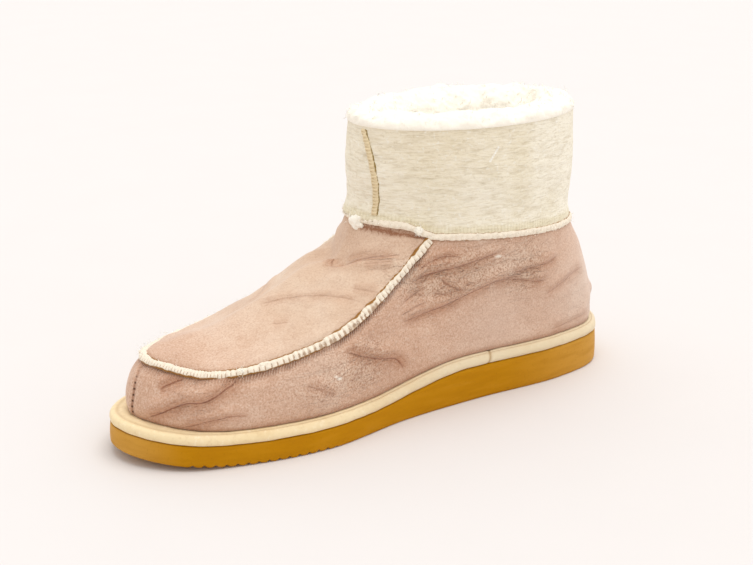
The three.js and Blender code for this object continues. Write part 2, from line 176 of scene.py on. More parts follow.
UPPER_GRID = (140, 580)
CUFF_GRID = (60, 520)
ROLL_GRID = (90, 640)
LINING_GRID = (60, 360)
SEAM_COLUMNS = 1024
RIDGE_ARC = 13
LOCK_SIDES = 3
ROLL_LOCKS = 1000
LINING_LOCKS = 1500
LINING_SHOWN = 34  # the first of the lining's rows that the mouth shows
FIBRE_CURL = 0.02  # depth of the curls on thin fibres
# The fibres' glow is painted light: an emission that stands for light passing through them.
FIBRE_GLOW = 0.1  # strength of the light that passes through thin fibres

# The stage, in metres and degrees

CAMERA = {
    "place": (0.34325, 0.55691, 0.27435),
    "turn": (71.83, 0, 148.06),
    "lens": 65,
    "sensor": 36,
    "clip": (0.05, 50),
}
FLOOR_HALF = 6
WALLS = {"towards": (-0.75, -0.66, 0), "near": 0.82, "far": 1.14}
LAMP = {"energy": 1.15, "angle": 45, "turn": (-8, -6, 0)}

# The skin's creases and marks, in millimetres

# Creases of the skin: how deep and how wide each is, whether its roll lies above it
# (1) or below (-1), and the points that it runs through.
CREASES = {
    "throat fold": (1.0, 1.8, -1, [
        (167, 3, 74), (165, 11, 75), (158, 18, 79), (151, 23, 80), (141, 30, 82)
    ]),
    "throat second": (0.5, 0.9, -1, [(161, 7, 76), (156, 18, 81), (149, 24, 82), (143, 28, 83)]),
    "throat third": (0.5, 0.8, -1, [(160, 21, 77), (153, 26, 79), (146, 30, 79)]),
    "throat notch": (0.6, 1.6, -1, [(165, 1, 80), (168, 4, 78), (170, 8, 76)]),
    "apron crease": (0.3, 1.2, 1, [
        (209, 2, 60), (196, 8, 64), (184, 19, 66), (177, 27, 66), (167, 36, 64)
    ]),
    "apron short": (0.2, 1.0, 1, [(208, 17, 55), (201, 22, 57)]),
    "apron upper": (0.2, 1.0, 1, [(170, 28, 70), (165, 31, 69), (159, 36, 68)]),
    "toe side": (1.5, 2.2, 1, [
        (234, 37, 42), (240, 37, 38), (251, 35, 32), (258, 30, 31), (268, 20, 24), (273, 13, 19)
    ]),
    "toe short": (1.0, 1.9, 1, [(256, 25, 41), (263, 21, 38), (267, 18, 35)]),
    "over the rand": (0.7, 1.5, 1, [(261, 29, 19), (252, 36, 22), (242, 40, 24), (231, 42, 23)]),
    "side": (1.1, 2.2, 1, [(185, 44, 46), (165, 41, 37), (149, 38, 32), (144, 36, 23)]),
    "side low": (0.4, 1.6, 1, [(206, 46, 34), (196, 46, 29), (188, 44, 25)]),
    "quarter long": (1.2, 2.1, 1, [
        (150, 37, 50), (123, 35, 53), (101, 36, 59), (84, 37, 63), (70, 36, 61)
    ]),
    "quarter fan": (0.7, 1.4, 1, [(93, 37, 60), (80, 36, 61), (66, 36, 57), (54, 35, 56)]),
    "quarter end": (0.8, 1.6, 1, [(84, 36, 66), (72, 36, 65), (58, 35, 66), (46, 34, 68)]),
    "quarter front": (0.6, 1.3, 1, [(138, 33, 73), (130, 34, 77), (121, 35, 79), (110, 36, 78)]),
    "quarter upper": (1.0, 1.8, 1, [
        (141, 34, 68), (132, 34, 71), (114, 36, 73), (98, 38, 76), (86, 37, 79)
    ]),
    "quarter short": (0.6, 1.1, 1, [(124, 35, 69), (118, 35, 64), (108, 36, 59)]),
    "quarter fine": (0.5, 0.9, 1, [(146, 36, 60), (138, 35, 63), (131, 35, 66)]),
    "quarter finer": (0.4, 0.8, 1, [(129, 35, 62), (119, 36, 60), (110, 36, 63), (102, 37, 64)]),
    "quarter finest": (0.4, 0.8, 1, [(148, 38, 54), (139, 37, 57), (131, 36, 58)]),
    "heel upper": (0.5, 1.8, 1, [(58, 35, 48), (45, 33, 52), (34, 30, 55), (24, 25, 56)]),
    "heel lower": (0.4, 1.6, 1, [(52, 34, 27), (39, 31, 28), (28, 29, 29), (18, 24, 30)]),
    "heel back": (0.9, 2.4, 1, [(16, 21, 37), (6, 5, 33), (8, -13, 38)]),
    "outer long": (1.2, 2.2, 1, [
        (152, -43, 46), (128, -41, 51), (104, -40, 58), (84, -39, 62), (66, -38, 60)
    ]),
    "outer fan": (0.6, 1.4, 1, [(98, -40, 59), (82, -39, 59), (68, -38, 55), (55, -37, 55)]),
    "outer end": (0.6, 1.5, 1, [(86, -40, 66), (73, -39, 65), (58, -38, 67)]),
    "outer upper": (0.9, 1.8, 1, [(139, -39, 66), (126, -40, 70), (110, -41, 73), (94, -41, 74)]),
    "outer short": (0.6, 1.4, 1, [(122, -40, 66), (114, -41, 61), (106, -41, 57)]),
    "outer side": (1.0, 2.1, 1, [(192, -50, 41), (174, -47, 35), (158, -45, 29), (150, -44, 23)]),
    "outer low": (0.5, 1.6, 1, [(212, -48, 33), (200, -48, 29), (190, -47, 25)]),
    "outer toe": (1.2, 2.1, 1, [(233, -43, 40), (243, -38, 35), (254, -33, 31), (265, -23, 25)]),
    "outer apron": (0.35, 1.5, 1, [(204, -16, 59), (188, -29, 60), (176, -38, 57)]),
    "outer heel": (0.5, 1.8, 1, [(58, -37, 47), (46, -35, 50), (36, -32, 53), (26, -27, 54)]),
}
# Where the skin is finely crinkled.
CRINKLED = table(
    "along side up reach amount",
    (122, 35, 67, 17, 0.8),
    (141, 34, 71, 13, 0.7),
    (104, 37, 70, 15, 0.6),
    (70, 36, 61, 15, 0.7),
    (155, 26, 79, 13, 0.35),
    (168, 42, 36, 20, 0.7),
    (198, 46, 30, 22, 0.6),
    (78, 36, 78, 22, 0.5),
    (186, 16, 66, 16, 0.25),
    (256, 30, 34, 15, 0.5),
    (34, 29, 40, 20, 0.4),
    (122, -40, 64, 18, 0.8),
    (140, -40, 68, 13, 0.6),
    (72, -38, 61, 15, 0.6),
    (178, -47, 34, 18, 0.5),
    (250, -34, 33, 15, 0.5),
    (34, -31, 42, 20, 0.4),
)
# Where the skin is paler, in soft spots round the heel and low on the quarters.
PALE_SPOTS = table(
    "along side up reach amount",
    (24, 28, 44, 28, 1.0),
    (24, -30, 44, 28, 1.0),
    (88, 38, 36, 26, 0.6),
    (88, -40, 36, 26, 0.6),
    (4, 0, 55, 30, 0.5),
)
# The skin is drawn in under the collar's front: how deep, how far below the collar, how far that
# reaches up and down, and where and how far it goes round, in degrees.
TUCK = {"depth": 5.5, "below": 15, "upper": 6.5, "lower": 9, "turn": -10, "spread": 28}
CUFF_SCRATCH = [(99, 40, 125), (94, 40, 132)]
# What the upper's skin is marked with, point by point, for its material.
UPPER_MARKS = (
    "apron crease crease_away crease_along streak crinkle toe toe_away toe_along rub gather seam_along "
    "low loops loops_away worn"
).split()
# The toe's butt seam, and pale rubbed marks as place and reach.
TOE_SEAM = [(268, 3, 48), (271, 5, 39), (274, 7, 30), (275, 6, 18)]
RUBBED = [(91, 38, 75.5, 1.5), (188, 46, 33.5, 1.3), (190, 46, 35, 0.9)]
# Tufts of wool that stand out of the seams: their middles and sizes outwards, sideways and up.
TUFTS = [((151, 2, 93.6), (3, 5, 4.2)), ((132.5, 28.8, 92.6), (1.5, 2.3, 2)), ((234, 37, 43.8), (1, 1.4, 1))]


def linear(code):
    """Linear colour of an sRGB hex value."""
    srgb = np.array([int(code[i : i + 2], 16) for i in (0, 2, 4)]) / 255
    return tuple(np.where(srgb <= 0.04045, srgb / 12.92, ((srgb + 0.055) / 1.055) ** 2.4))


# Properties


def length_property(name, description, millimetres):
    """A length, given in millimetres and kept in metres."""
    return FloatProperty(
        name=name,
        description=description,
        default=millimetres / MM,
        min=0,
        precision=4,
        subtype="DISTANCE",
        unit="LENGTH",
    )


def colour_property(name, description, code):
    """A colour, given as an sRGB hex value and kept linear."""
    return FloatVectorProperty(
        name=name, description=description, default=linear(code), size=3, min=0, max=1, subtype="COLOR"
    )


class BootSizes(bpy.types.PropertyGroup):
    """Sizes of the boot's finish."""

    stitch_pitch: length_property("Stitch pitch", "From one overcast stitch to the next", 2.8)
    apron_ridge: length_property("Apron seam width", "Width of the apron's raised seam", 4.7)
    collar_ridge: length_property("Collar seam width", "Width of the seam round the collar", 3.6)
    cuff_ridge: length_property("Cuff seam width", "Width of the cuff's closing seam", 3.8)
    wool_length: length_property("Wool length", "Length of the wool fibres on the rim", 3.2)
    rib_pitch: length_property("Rib pitch", "From one tread rib to the next", 4.9)
    rib_depth: length_property("Rib depth", "Depth of the grooves between tread ribs", 1.1)
    wool_seed: IntProperty(name="Wool seed", description="Start of the wool's random places", default=5)


class BootColours(bpy.types.PropertyGroup):
    """Colours of the boot's materials."""

    quarter: colour_property("Quarter", "Brushed skin of the quarters", "d5b097")
    apron: colour_property("Apron", "Brushed skin of the apron, paler", "d9bda4")
    # The crease colour is a darker skin tone for the mottle and the pores, and also the painted shade in the
    # creases, along the sole, beside the apron seam and under the collar seam.
    crease: colour_property("Creases", "Skin in the bottom of creases", "99664a")
    cuff: colour_property("Cuff", "Undyed skin of the cuff", "f8f1df")
    wool: colour_property("Wool", "Fleece of the lining and rim", "fff9ec")
    thread: colour_property("Thread", "Overcast seams", "f2e6d3")
    thread_gap: colour_property("Thread gaps", "Between the overcast stitches", "bda38a")
    # Thread edges: brown that is partly dye on the raw edges and partly painted shade along them.
    thread_edge: colour_property("Thread edges", "Along the overcast seams", "98682a")
    rubber: colour_property("Outsole", "Gum rubber", "bb8004")
    rand: colour_property("Rand", "Wrapped edge of the midsole", "efd9ae")


# Lines and grids


def lookup(rows, key, column, place):
    """Value of a table's column at places: a cubic through its rows, with the slope of the
    neighbours at each row, and level beyond its ends."""
    x, y = rows[key], rows[column]
    before, after = np.maximum(np.arange(len(x)) - 1, 0), np.minimum(np.arange(len(x)) + 1, len(x) - 1)
    slope = (y[after] - y[before]) / (x[after] - x[before])
    i = np.clip(np.searchsorted(x, place, side="right") - 1, 0, len(x) - 2)
    span = x[i + 1] - x[i]
    t = np.clip((place - x[i]) / span, 0, 1)
    start, end = slope[i] * span, slope[i + 1] * span
    curve = 2 * y[i] - 2 * y[i + 1] + start + end
    bend = 3 * y[i + 1] - 3 * y[i] - 2 * start - end
    return y[i] + t * (start + t * (bend + t * curve))


def smoothstep(place, low, high):
    """From 0 at low to 1 at high, level at both ends."""
    t = np.clip((place - low) / (high - low), 0, 1)
    return t * t * (3 - 2 * t)


def stretch(place, start, full, fading, end):
    """From 0 at start to 1 at full, and from 1 at fading to 0 at end."""
    return smoothstep(place, start, full) * (1 - smoothstep(place, fading, end))


def bell(offset, width):
    """A bell round nil: the exponential of minus the square of an offset over a width."""
    return np.exp(-((offset / width) ** 2))


def normalised(vectors):
    """Vectors of the same directions and of length one."""
    return vectors / np.maximum(np.linalg.norm(vectors, axis=-1, keepdims=True), 1e-9)


def smooth_line(points, steps, closed=False):
    """A centripetal curve through points: cubic pieces whose end slopes weigh each neighbour by the
    square root of its distance."""
    points = np.asarray(points, float)
    if closed:
        padded = np.concatenate([points[-1:], points, points[:2]])
    else:
        padded = np.concatenate([2 * points[:1] - points[1:2], points, 2 * points[-1:] - points[-2:-1]])
    gap = np.sqrt(np.linalg.norm(np.diff(padded, axis=0), axis=1))[:, None]
    p0, p1, p2, p3 = padded[:-3], padded[1:-2], padded[2:-1], padded[3:]
    g0, g1, g2 = gap[:-2], gap[1:-1], gap[2:]
    start = ((p1 - p0) / g0 - (p2 - p0) / (g0 + g1) + (p2 - p1) / g1) * g1
    end = ((p2 - p1) / g1 - (p3 - p1) / (g1 + g2) + (p3 - p2) / g2) * g1
    t = (np.arange(steps) / steps)[None, :, None]
    p1, p2, start, end = (a[:, None] for a in (p1, p2, start, end))
    bend, curve = 3 * (p2 - p1) - 2 * start - end, 2 * (p1 - p2) + start + end
    line = (p1 + t * (start + t * (bend + t * curve))).reshape(-1, points.shape[1])
    last = points[:1] if closed else points[-1:]
    return np.concatenate([line, last])


def lengths_along(points):
    """Distance of each point of a line from the line's start."""
    return np.concatenate([[0], np.cumsum(np.linalg.norm(np.diff(points, axis=0), axis=1))])


def evenly(points, count):
    """Points at equal steps of length along a line."""
    at = lengths_along(points)
    wanted = np.linspace(0, at[-1], count)
    return np.stack([np.interp(wanted, at, column) for column in points.T], axis=1)


def grid_faces(rows, columns, close_rows=False, close_columns=False):
    """Squares of a grid, facing the way of the cross product of its rows and its columns."""
    row, column = np.meshgrid(
        np.arange(rows - 1 + close_rows), np.arange(columns - 1 + close_columns), indexing="ij"
    )
    above, after = (row + 1) % rows, (column + 1) % columns
    corners = [(row, column), (above, column), (above, after), (row, after)]
    return np.stack([(r * columns + c).ravel() for r, c in corners], axis=1)


def closed_faces(shell):
    """Squares of a grid that closes both ways."""
    return grid_faces(*shell.shape[:2], close_rows=True, close_columns=True)


def grid_normals(grid):
    """Outward normals of a grid whose rows rise and whose columns close round the foot."""
    around = np.roll(grid, -1, axis=1) - np.roll(grid, 1, axis=1)
    return normalised(np.cross(np.gradient(grid, axis=0), around))


def joined(*parts):
    """One mesh, as points and triangles, from several: points in the same place become one, and
    squares are split into triangles, without those that have lost a side. Also gives the place of
    each point among the parts' points."""
    points = np.concatenate([p.reshape(-1, 3) for p, _ in parts])
    starts = np.cumsum([0] + [p.size // 3 for p, _ in parts[:-1]])
    faces = np.concatenate([f + start for (_, f), start in zip(parts, starts)])
    _, first, index = np.unique(np.round(points, 4), axis=0, return_index=True, return_inverse=True)
    faces = index.reshape(-1)[faces]
    triangles = np.concatenate([faces[:, [0, 1, 2]], faces[:, [0, 2, 3]]])
    a, b, c = triangles.T
    return points[first], triangles[(a != b) & (b != c) & (c != a)], first


def soft_waves(points, size, seed):
    """Soft lumps of about a size, from -1 to 1: the mean of plane waves in seeded directions."""
    rng = np.random.default_rng(seed)
    ways = normalised(rng.normal(size=(9, 3))) * (2 * np.pi / size) * rng.uniform(0.6, 1.5, (9, 1))
    return np.sin(points @ ways.T + rng.uniform(0, 2 * np.pi, 9)).mean(axis=-1) * 2


# The sole's form

SOLE_LOOP = smooth_line(
    np.array(
        [
            HEEL_BACK,
            *zip(SOLE_PLAN["along"], SOLE_PLAN["inner"]),
            TOE_TIP,
            *zip(SOLE_PLAN["along"][::-1], -SOLE_PLAN["outer"][::-1]),
        ]
    ),
    40,
    closed=True,
)
TOE_AT = (len(SOLE_LOOP) - 1) // 2
INNER_SIDE, OUTER_SIDE = SOLE_LOOP[: TOE_AT + 1], SOLE_LOOP[TOE_AT:][::-1]
# The solids stand with their origin under the middle of the outsole.
MIDDLE = np.array([*(SOLE_LOOP.min(axis=0) + SOLE_LOOP.max(axis=0)) / 2, 0])


def plan_ring(inset_at, count):
    """The sole plan, moved in along its normals: from the heel by the inner side to the toe and
    back by the outer side."""
    half = count // 2
    inner, outer = evenly(INNER_SIDE, half + 1), evenly(OUTER_SIDE, half + 1)
    ring = np.concatenate([inner, outer[1:-1][::-1]])
    ahead = normalised(np.roll(ring, -1, axis=0) - np.roll(ring, 1, axis=0))
    inward = np.stack([ahead[:, 1], -ahead[:, 0]], axis=1)
    return ring + inward * np.broadcast_to(inset_at(ring[:, 0]), (count,))[:, None]


def tread_height(x):
    """The tread's height: nil as far as the toe spring, which rises by a square."""
    way = np.clip((x - TOE_SPRING["start"]) / (TOE_TIP[0] - TOE_SPRING["start"]), 0, 1)
    return TOE_SPRING["rise"] * way**2


def outsole_thickness(x):
    """The outsole's thickness: the heel's, eased down the wedge to the forefoot's."""
    way = smoothstep(x, OUTSOLE["wedge_end"], OUTSOLE["wedge_start"])
    return OUTSOLE["heel"] + (OUTSOLE["fore"] - OUTSOLE["heel"]) * way


def feather_inset(x):
    """How far the upper's foot lies inside the sole's plan, which eases to more at the toe."""
    way = smoothstep(x, FEATHER_INSET["toe_start"], TOE_TIP[0])
    return FEATHER_INSET["sides"] + (FEATHER_INSET["toe"] - FEATHER_INSET["sides"]) * way


def insole_inset(x):
    """The insole lies inside the upper's foot by the upper's wall and a clearance."""
    return feather_inset(x) + UPPER_WALL + INSOLE_CLEARANCE


def midsole_base(x):
    """The midsole's underside: the outsole's top and a gap."""
    return tread_height(x) + outsole_thickness(x) + SEAM_GAP


def feather_height(x):
    """The height of the upper's foot: the midsole's top and a gap."""
    return midsole_base(x) + MIDSOLE_THICKNESS + SEAM_GAP


def edge_rings(edge, inset_at, base, thickness, shares, count):
    """Rings up a sole layer's edge: at each share of the thickness, the plan moved in by the edge's
    profile."""
    rings = []
    for share in shares:
        step = lookup(edge, "share", "inset", share)
        plan = plan_ring(lambda x: inset_at(x) + step, count)
        rings.append(np.column_stack([plan, base(plan[:, 0]) + share * thickness(plan[:, 0])]))
    return np.array(rings)


def crossing(ring, steps):
    """Lines straight across a ring from its inner side to its outer side, from heel to toe."""
    half = len(ring) // 2
    outer = ring[-np.arange(half + 1) % len(ring)]
    t = np.linspace(0, 1, steps + 1)[None, :, None]
    return ring[: half + 1, None] * (1 - t) + outer[:, None] * t


def closed_layer(rings, bottom, top):
    """A sole layer's mesh: its rings, and lines across that close it below and above."""
    return joined(
        (rings, grid_faces(*rings.shape[:2], close_columns=True)),
        (bottom, grid_faces(*bottom.shape[:2])),
        (top, grid_faces(*top.shape[:2])[:, ::-1]),
    )


# The upper's and the cuff's forms


def oval_point(oval, turn):
    """The point of an oval at a turn from its front, on the floor."""
    x = oval["along"] + oval["half_length"] * np.cos(turn)
    y = oval["side"] + oval["half_width"] * np.sin(turn)
    return np.stack([x, y, np.zeros_like(x)], axis=-1)


def collar_turns(count):
    """Turns from the collar's front for steps round the foot: crowded towards the toe, because the
    collar's front half takes the whole forefoot."""
    step = np.arange(count)
    way = np.minimum(step, count - step) / (count / 2)
    crowded = 1 - (1 - way) ** COLLAR_CROWDING["power"]
    share = way + (crowded - way) * COLLAR_CROWDING["share"]
    return np.where(step <= count / 2, 1, -1) * np.pi * (1 - share)


def turns_round(count):
    """Turns from the front for equal steps round the cuff, from the heel by the inner side."""
    return np.pi - 2 * np.pi * np.arange(count) / count


def collar_point(turn):
    """The collar's oval, rising from heel to front, with the tongue's lift at the very front."""
    forward = (1 + np.cos(turn)) / 2
    ends = np.cos(np.radians([COLLAR_HEIGHT["seam_turn"], COLLAR_HEIGHT["tongue_turn"]]))
    point = oval_point(COLLAR, turn)
    point[..., 2] = COLLAR_HEIGHT["back"] + (COLLAR_HEIGHT["front"] - COLLAR_HEIGHT["back"]) * forward
    point[..., 2] += COLLAR_HEIGHT["tongue_lift"] * smoothstep(np.cos(turn), *ends)
    return point


def cuff_outward(turn):
    """The outward normal of the rim's oval at a turn."""
    x, y = np.cos(turn) / CUFF_RIM["half_length"], np.sin(turn) / CUFF_RIM["half_width"]
    return normalised(np.stack([x, y, np.zeros_like(x)], axis=-1))


def cuff_point(turn, way):
    """The cuff's outside: straight from the collar to the rim, with its profile stood out."""
    turn, way = np.broadcast_arrays(np.asarray(turn, float), np.asarray(way, float))
    foot, rim = collar_point(turn), oval_point(CUFF_RIM, turn)
    foot[..., 2] += SEAM_GAP
    rim[..., 2] = CUFF_RIM["height"]
    out = lookup(CUFF_SHAPE, "way", "out", way)
    return foot + (rim - foot) * way[..., None] + cuff_outward(turn) * out[..., None]


class UpperForm:
    """The upper's outside as meridians round the foot, from the feather line up the quarter to the
    apron seam, and over the apron to the collar."""

    def __init__(self, count):
        plan = plan_ring(feather_inset, count)
        ahead = normalised(np.roll(plan, -1, axis=0) - np.roll(plan, 1, axis=0))
        along = plan[:, 0]
        self.outward = np.column_stack([-ahead[:, 1], ahead[:, 0], np.zeros(count)])
        self.foot = np.column_stack([plan, feather_height(along)])
        self.turn = collar_turns(count)
        self.collar = collar_point(self.turn)
        side = np.where(
            self.outward[:, 1] > 0,
            lookup(APRON_SEAM, "along", "inner", along),
            lookup(APRON_SEAM, "along", "outer", along),
        )
        self.height = (self.collar - self.foot)[:, 2] * side
        self.inward = lookup(APRON_SEAM, "along", "inward", along)
        self.lean = lookup(QUARTER_LEAN, "along", "power", along)
        self.belly = lookup(QUARTER_LEAN, "along", "belly", along)
        self.front = smoothstep(along, *APRON_FRONT)
        fine = np.linspace(0, 1, 41)[:, None]
        spans = [np.linalg.norm(np.diff(line(fine), axis=0), axis=-1) for line in (self.quarter, self.apron)]
        self.quarter_length, self.apron_length = (span.sum(axis=0) for span in spans)
        self.length = self.quarter_length + self.apron_length
        self.seam_share = self.quarter_length / self.length

    def quarter(self, rise):
        """The quarter leans in by a power of its height and bellies out by half a sine."""
        across = (self.collar - self.foot) * [1, 1, 0]
        point = self.foot + across * (self.inward * rise**self.lean)[..., None]
        point = point + self.outward * (self.belly * np.sin(np.pi * rise))[..., None]
        point[..., 2] = self.foot[:, 2] + self.height * rise
        return point

    def apron(self, way):
        """The apron goes straight to the collar in plan, and rises by its table."""
        seam = self.quarter(np.ones((1, len(self.foot))))
        toe, sides = lookup(APRON_RISE, "way", "toe", way), lookup(APRON_RISE, "way", "sides", way)
        point = seam + (self.collar - seam) * (way + np.zeros_like(self.front))[..., None]
        rise = sides + (toe - sides) * self.front
        point[..., 2] = seam[..., 2] + (self.collar - seam)[..., 2] * rise
        return point

    def at(self, share):
        """Points at a share of each meridian's length."""
        rise = np.clip(share / self.seam_share, 0, 1)
        way = np.clip((share - self.seam_share) / np.maximum(1 - self.seam_share, 1e-6), 0, 1)
        return np.where((share <= self.seam_share)[..., None], self.quarter(rise), self.apron(way))


def fold(points, normals, line, depth, width, roll_side, ends=(0.15, 0.22)):
    """A fold along a line, as a shift along the normals: a valley at the line, a round roll on one
    side of it and a slow rise on the other, fading over a share of the line at both ends. Also gives
    each point's distance from the line, positive on the roll's side, the way along it, and the
    fold's strength."""
    nearest = [points[np.argmin(((points - p) ** 2).sum(axis=1))] for p in np.asarray(line, float)]
    path = evenly(smooth_line(nearest, 8), 8 * (len(line) - 1) + 1)
    reach = max(5 * width, FAR)
    near = np.all((points > path.min(axis=0) - reach) & (points < path.max(axis=0) + reach), axis=1)
    start, ahead = path[:-1], np.diff(path, axis=0)
    from_start = points[near][:, None] - start
    t = np.clip((from_start * ahead).sum(-1) / (ahead**2).sum(-1), 0, 1)
    offset = from_start - ahead * t[..., None]
    gap = np.linalg.norm(offset, axis=-1)
    closest = gap.argmin(axis=1)
    pick = np.arange(len(closest))
    upward = np.cross(ahead[closest], normals[near])
    upward = upward * roll_side * (1 if upward[:, 2].mean() > 0 else -1)
    side = np.where((upward * offset[pick, closest]).sum(-1) < 0, -1, 1)
    step = (closest + t[pick, closest]) / len(start)
    fade = smoothstep(step, 0, ends[0]) * smoothstep(1 - step, 0, ends[1])
    across = gap[pick, closest] * side / width
    valley, roll = bell(across, 0.45), bell(across - 1.9, 1.45)
    slope = bell(across, 2.5) * smoothstep(-across, -0.5, 0.5)
    shift, along, strength = (np.zeros(len(points)) for _ in range(3))
    away = np.full(len(points), FAR, float)
    shift[near] = fade * depth * (1.4 * roll - 0.4 * valley - 0.8 * slope)
    away[near] = gap[pick, closest] * side
    along[near] = step * lengths_along(path)[-1]
    strength[near] = fade * min(0.15 + depth, 1.5)
    return shift, away, along, strength


def throat_tuck(turn, below_collar):
    """How far the skin is drawn in at the throat: one bell down from the collar, longer on its lower
    side, times one round the front."""
    gap = below_collar - TUCK["below"]
    reach = np.where(gap < 0, TUCK["upper"], TUCK["lower"])
    round_front = (np.degrees(turn) - TUCK["turn"]) / TUCK["spread"]
    return TUCK["depth"] * np.exp(-((gap / reach) ** 2) - round_front**2)


# Meshes and materials


def add_piece(name, points, faces, material, slot, nodes=(), attributes=None, smooth=True):
    """Makes a mesh of points in millimetres and faces of equal size, as a piece of the boot."""
    mesh = bpy.data.meshes.new(name)
    points, faces = np.asarray(points).reshape(-1, 3), np.asarray(faces)
    mesh.vertices.add(len(points))
    mesh.vertices.foreach_set("co", ((points - MIDDLE) / MM).astype(np.float32).ravel())
    mesh.loops.add(faces.size)
    mesh.loops.foreach_set("vertex_index", faces.astype(np.int32).ravel())
    mesh.polygons.add(len(faces))
    mesh.polygons.foreach_set("loop_start", np.arange(0, faces.size, faces.shape[1], dtype=np.int32))
    mesh.update(calc_edges=True)
    if smooth:
        mesh.shade_smooth()
    for label, values in (attributes or {}).items():
        layer = mesh.attributes.new(label, "FLOAT", "POINT")
        layer.data.foreach_set("value", np.asarray(values, np.float32).ravel())
    if mesh.validate():
        raise RuntimeError(name + " has faces that are not sound")
    mesh.materials.append(material)
    piece = bpy.data.objects.new(name, mesh)
    bpy.context.scene.collection.objects.link(piece)
    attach(piece, BODY)
    if nodes:
        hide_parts(*nodes)
    return piece


def with_blank(marks, inside):
    """Marks of a shell's outside, and none on the inside that follows it."""
    blank = np.zeros(inside.shape[:2])
    return {
        name: np.concatenate([values.reshape(-1, blank.shape[1]), blank])
        for name, values in marks.items()
    }


def new_material(name, **shader_sockets):
    """A material with its shader's constant values set on the shader's own sockets."""
    material = bpy.data.materials.new(name)
    material.use_nodes = True
    shader = material.node_tree.nodes["Principled BSDF"]
    for socket, value in shader_sockets.items():
        shader.inputs[socket.replace("_", " ")].default_value = value
    return material, material.node_tree, shader


def add_node(tree, kind, inputs=None, output=0, **settings):
    """Adds a node with its settings and gives one of its outputs. Inputs are values, or other nodes'
    outputs to link."""
    node = tree.nodes.new(kind)
    for name, value in settings.items():
        setattr(node, name, value)
    for socket, value in (inputs or {}).items():
        if isinstance(value, bpy.types.NodeSocket):
            tree.links.new(value, node.inputs[socket])
        else:
            node.inputs[socket].default_value = value
    return node.outputs[output]


def finish_look(tree, shader, colour, tints, bumps):
    """Gives a shader its colour and its relief. Tints are laid over the colour in turn, each as far
    as its source lies from low to high, up to its strength. Bumps are stacked, each a height, its
    depth in millimetres, negative where the height goes in, and its strength."""
    for source, low, high, strength, tone in tints:
        reach = {"Value": source, "From Min": low, "From Max": high, "To Max": strength}
        amount = add_node(tree, "ShaderNodeMapRange", reach)
        layers = {MIX_FACTOR: amount, MIX_UNDER: colour, MIX_OVER: opaque(tone)}
        colour = add_node(tree, "ShaderNodeMix", layers, MIX_RESULT, data_type="RGBA")
    tree.links.new(colour, shader.inputs["Base Color"])
    below = {}
    for height, depth, strength in bumps:
        relief = {"Height": height, "Strength": strength, "Distance": abs(depth) / MM, **below}
        below = {"Normal": add_node(tree, "ShaderNodeBump", relief, invert=depth < 0)}
    tree.links.new(below["Normal"], shader.inputs["Normal"])


def opaque(colour):
    """A colour with an alpha of one."""
    return (*colour, 1)


def per_mm(size):
    """Scale of a pattern whose features are a size in millimetres, on coordinates in metres."""
    return MM / size


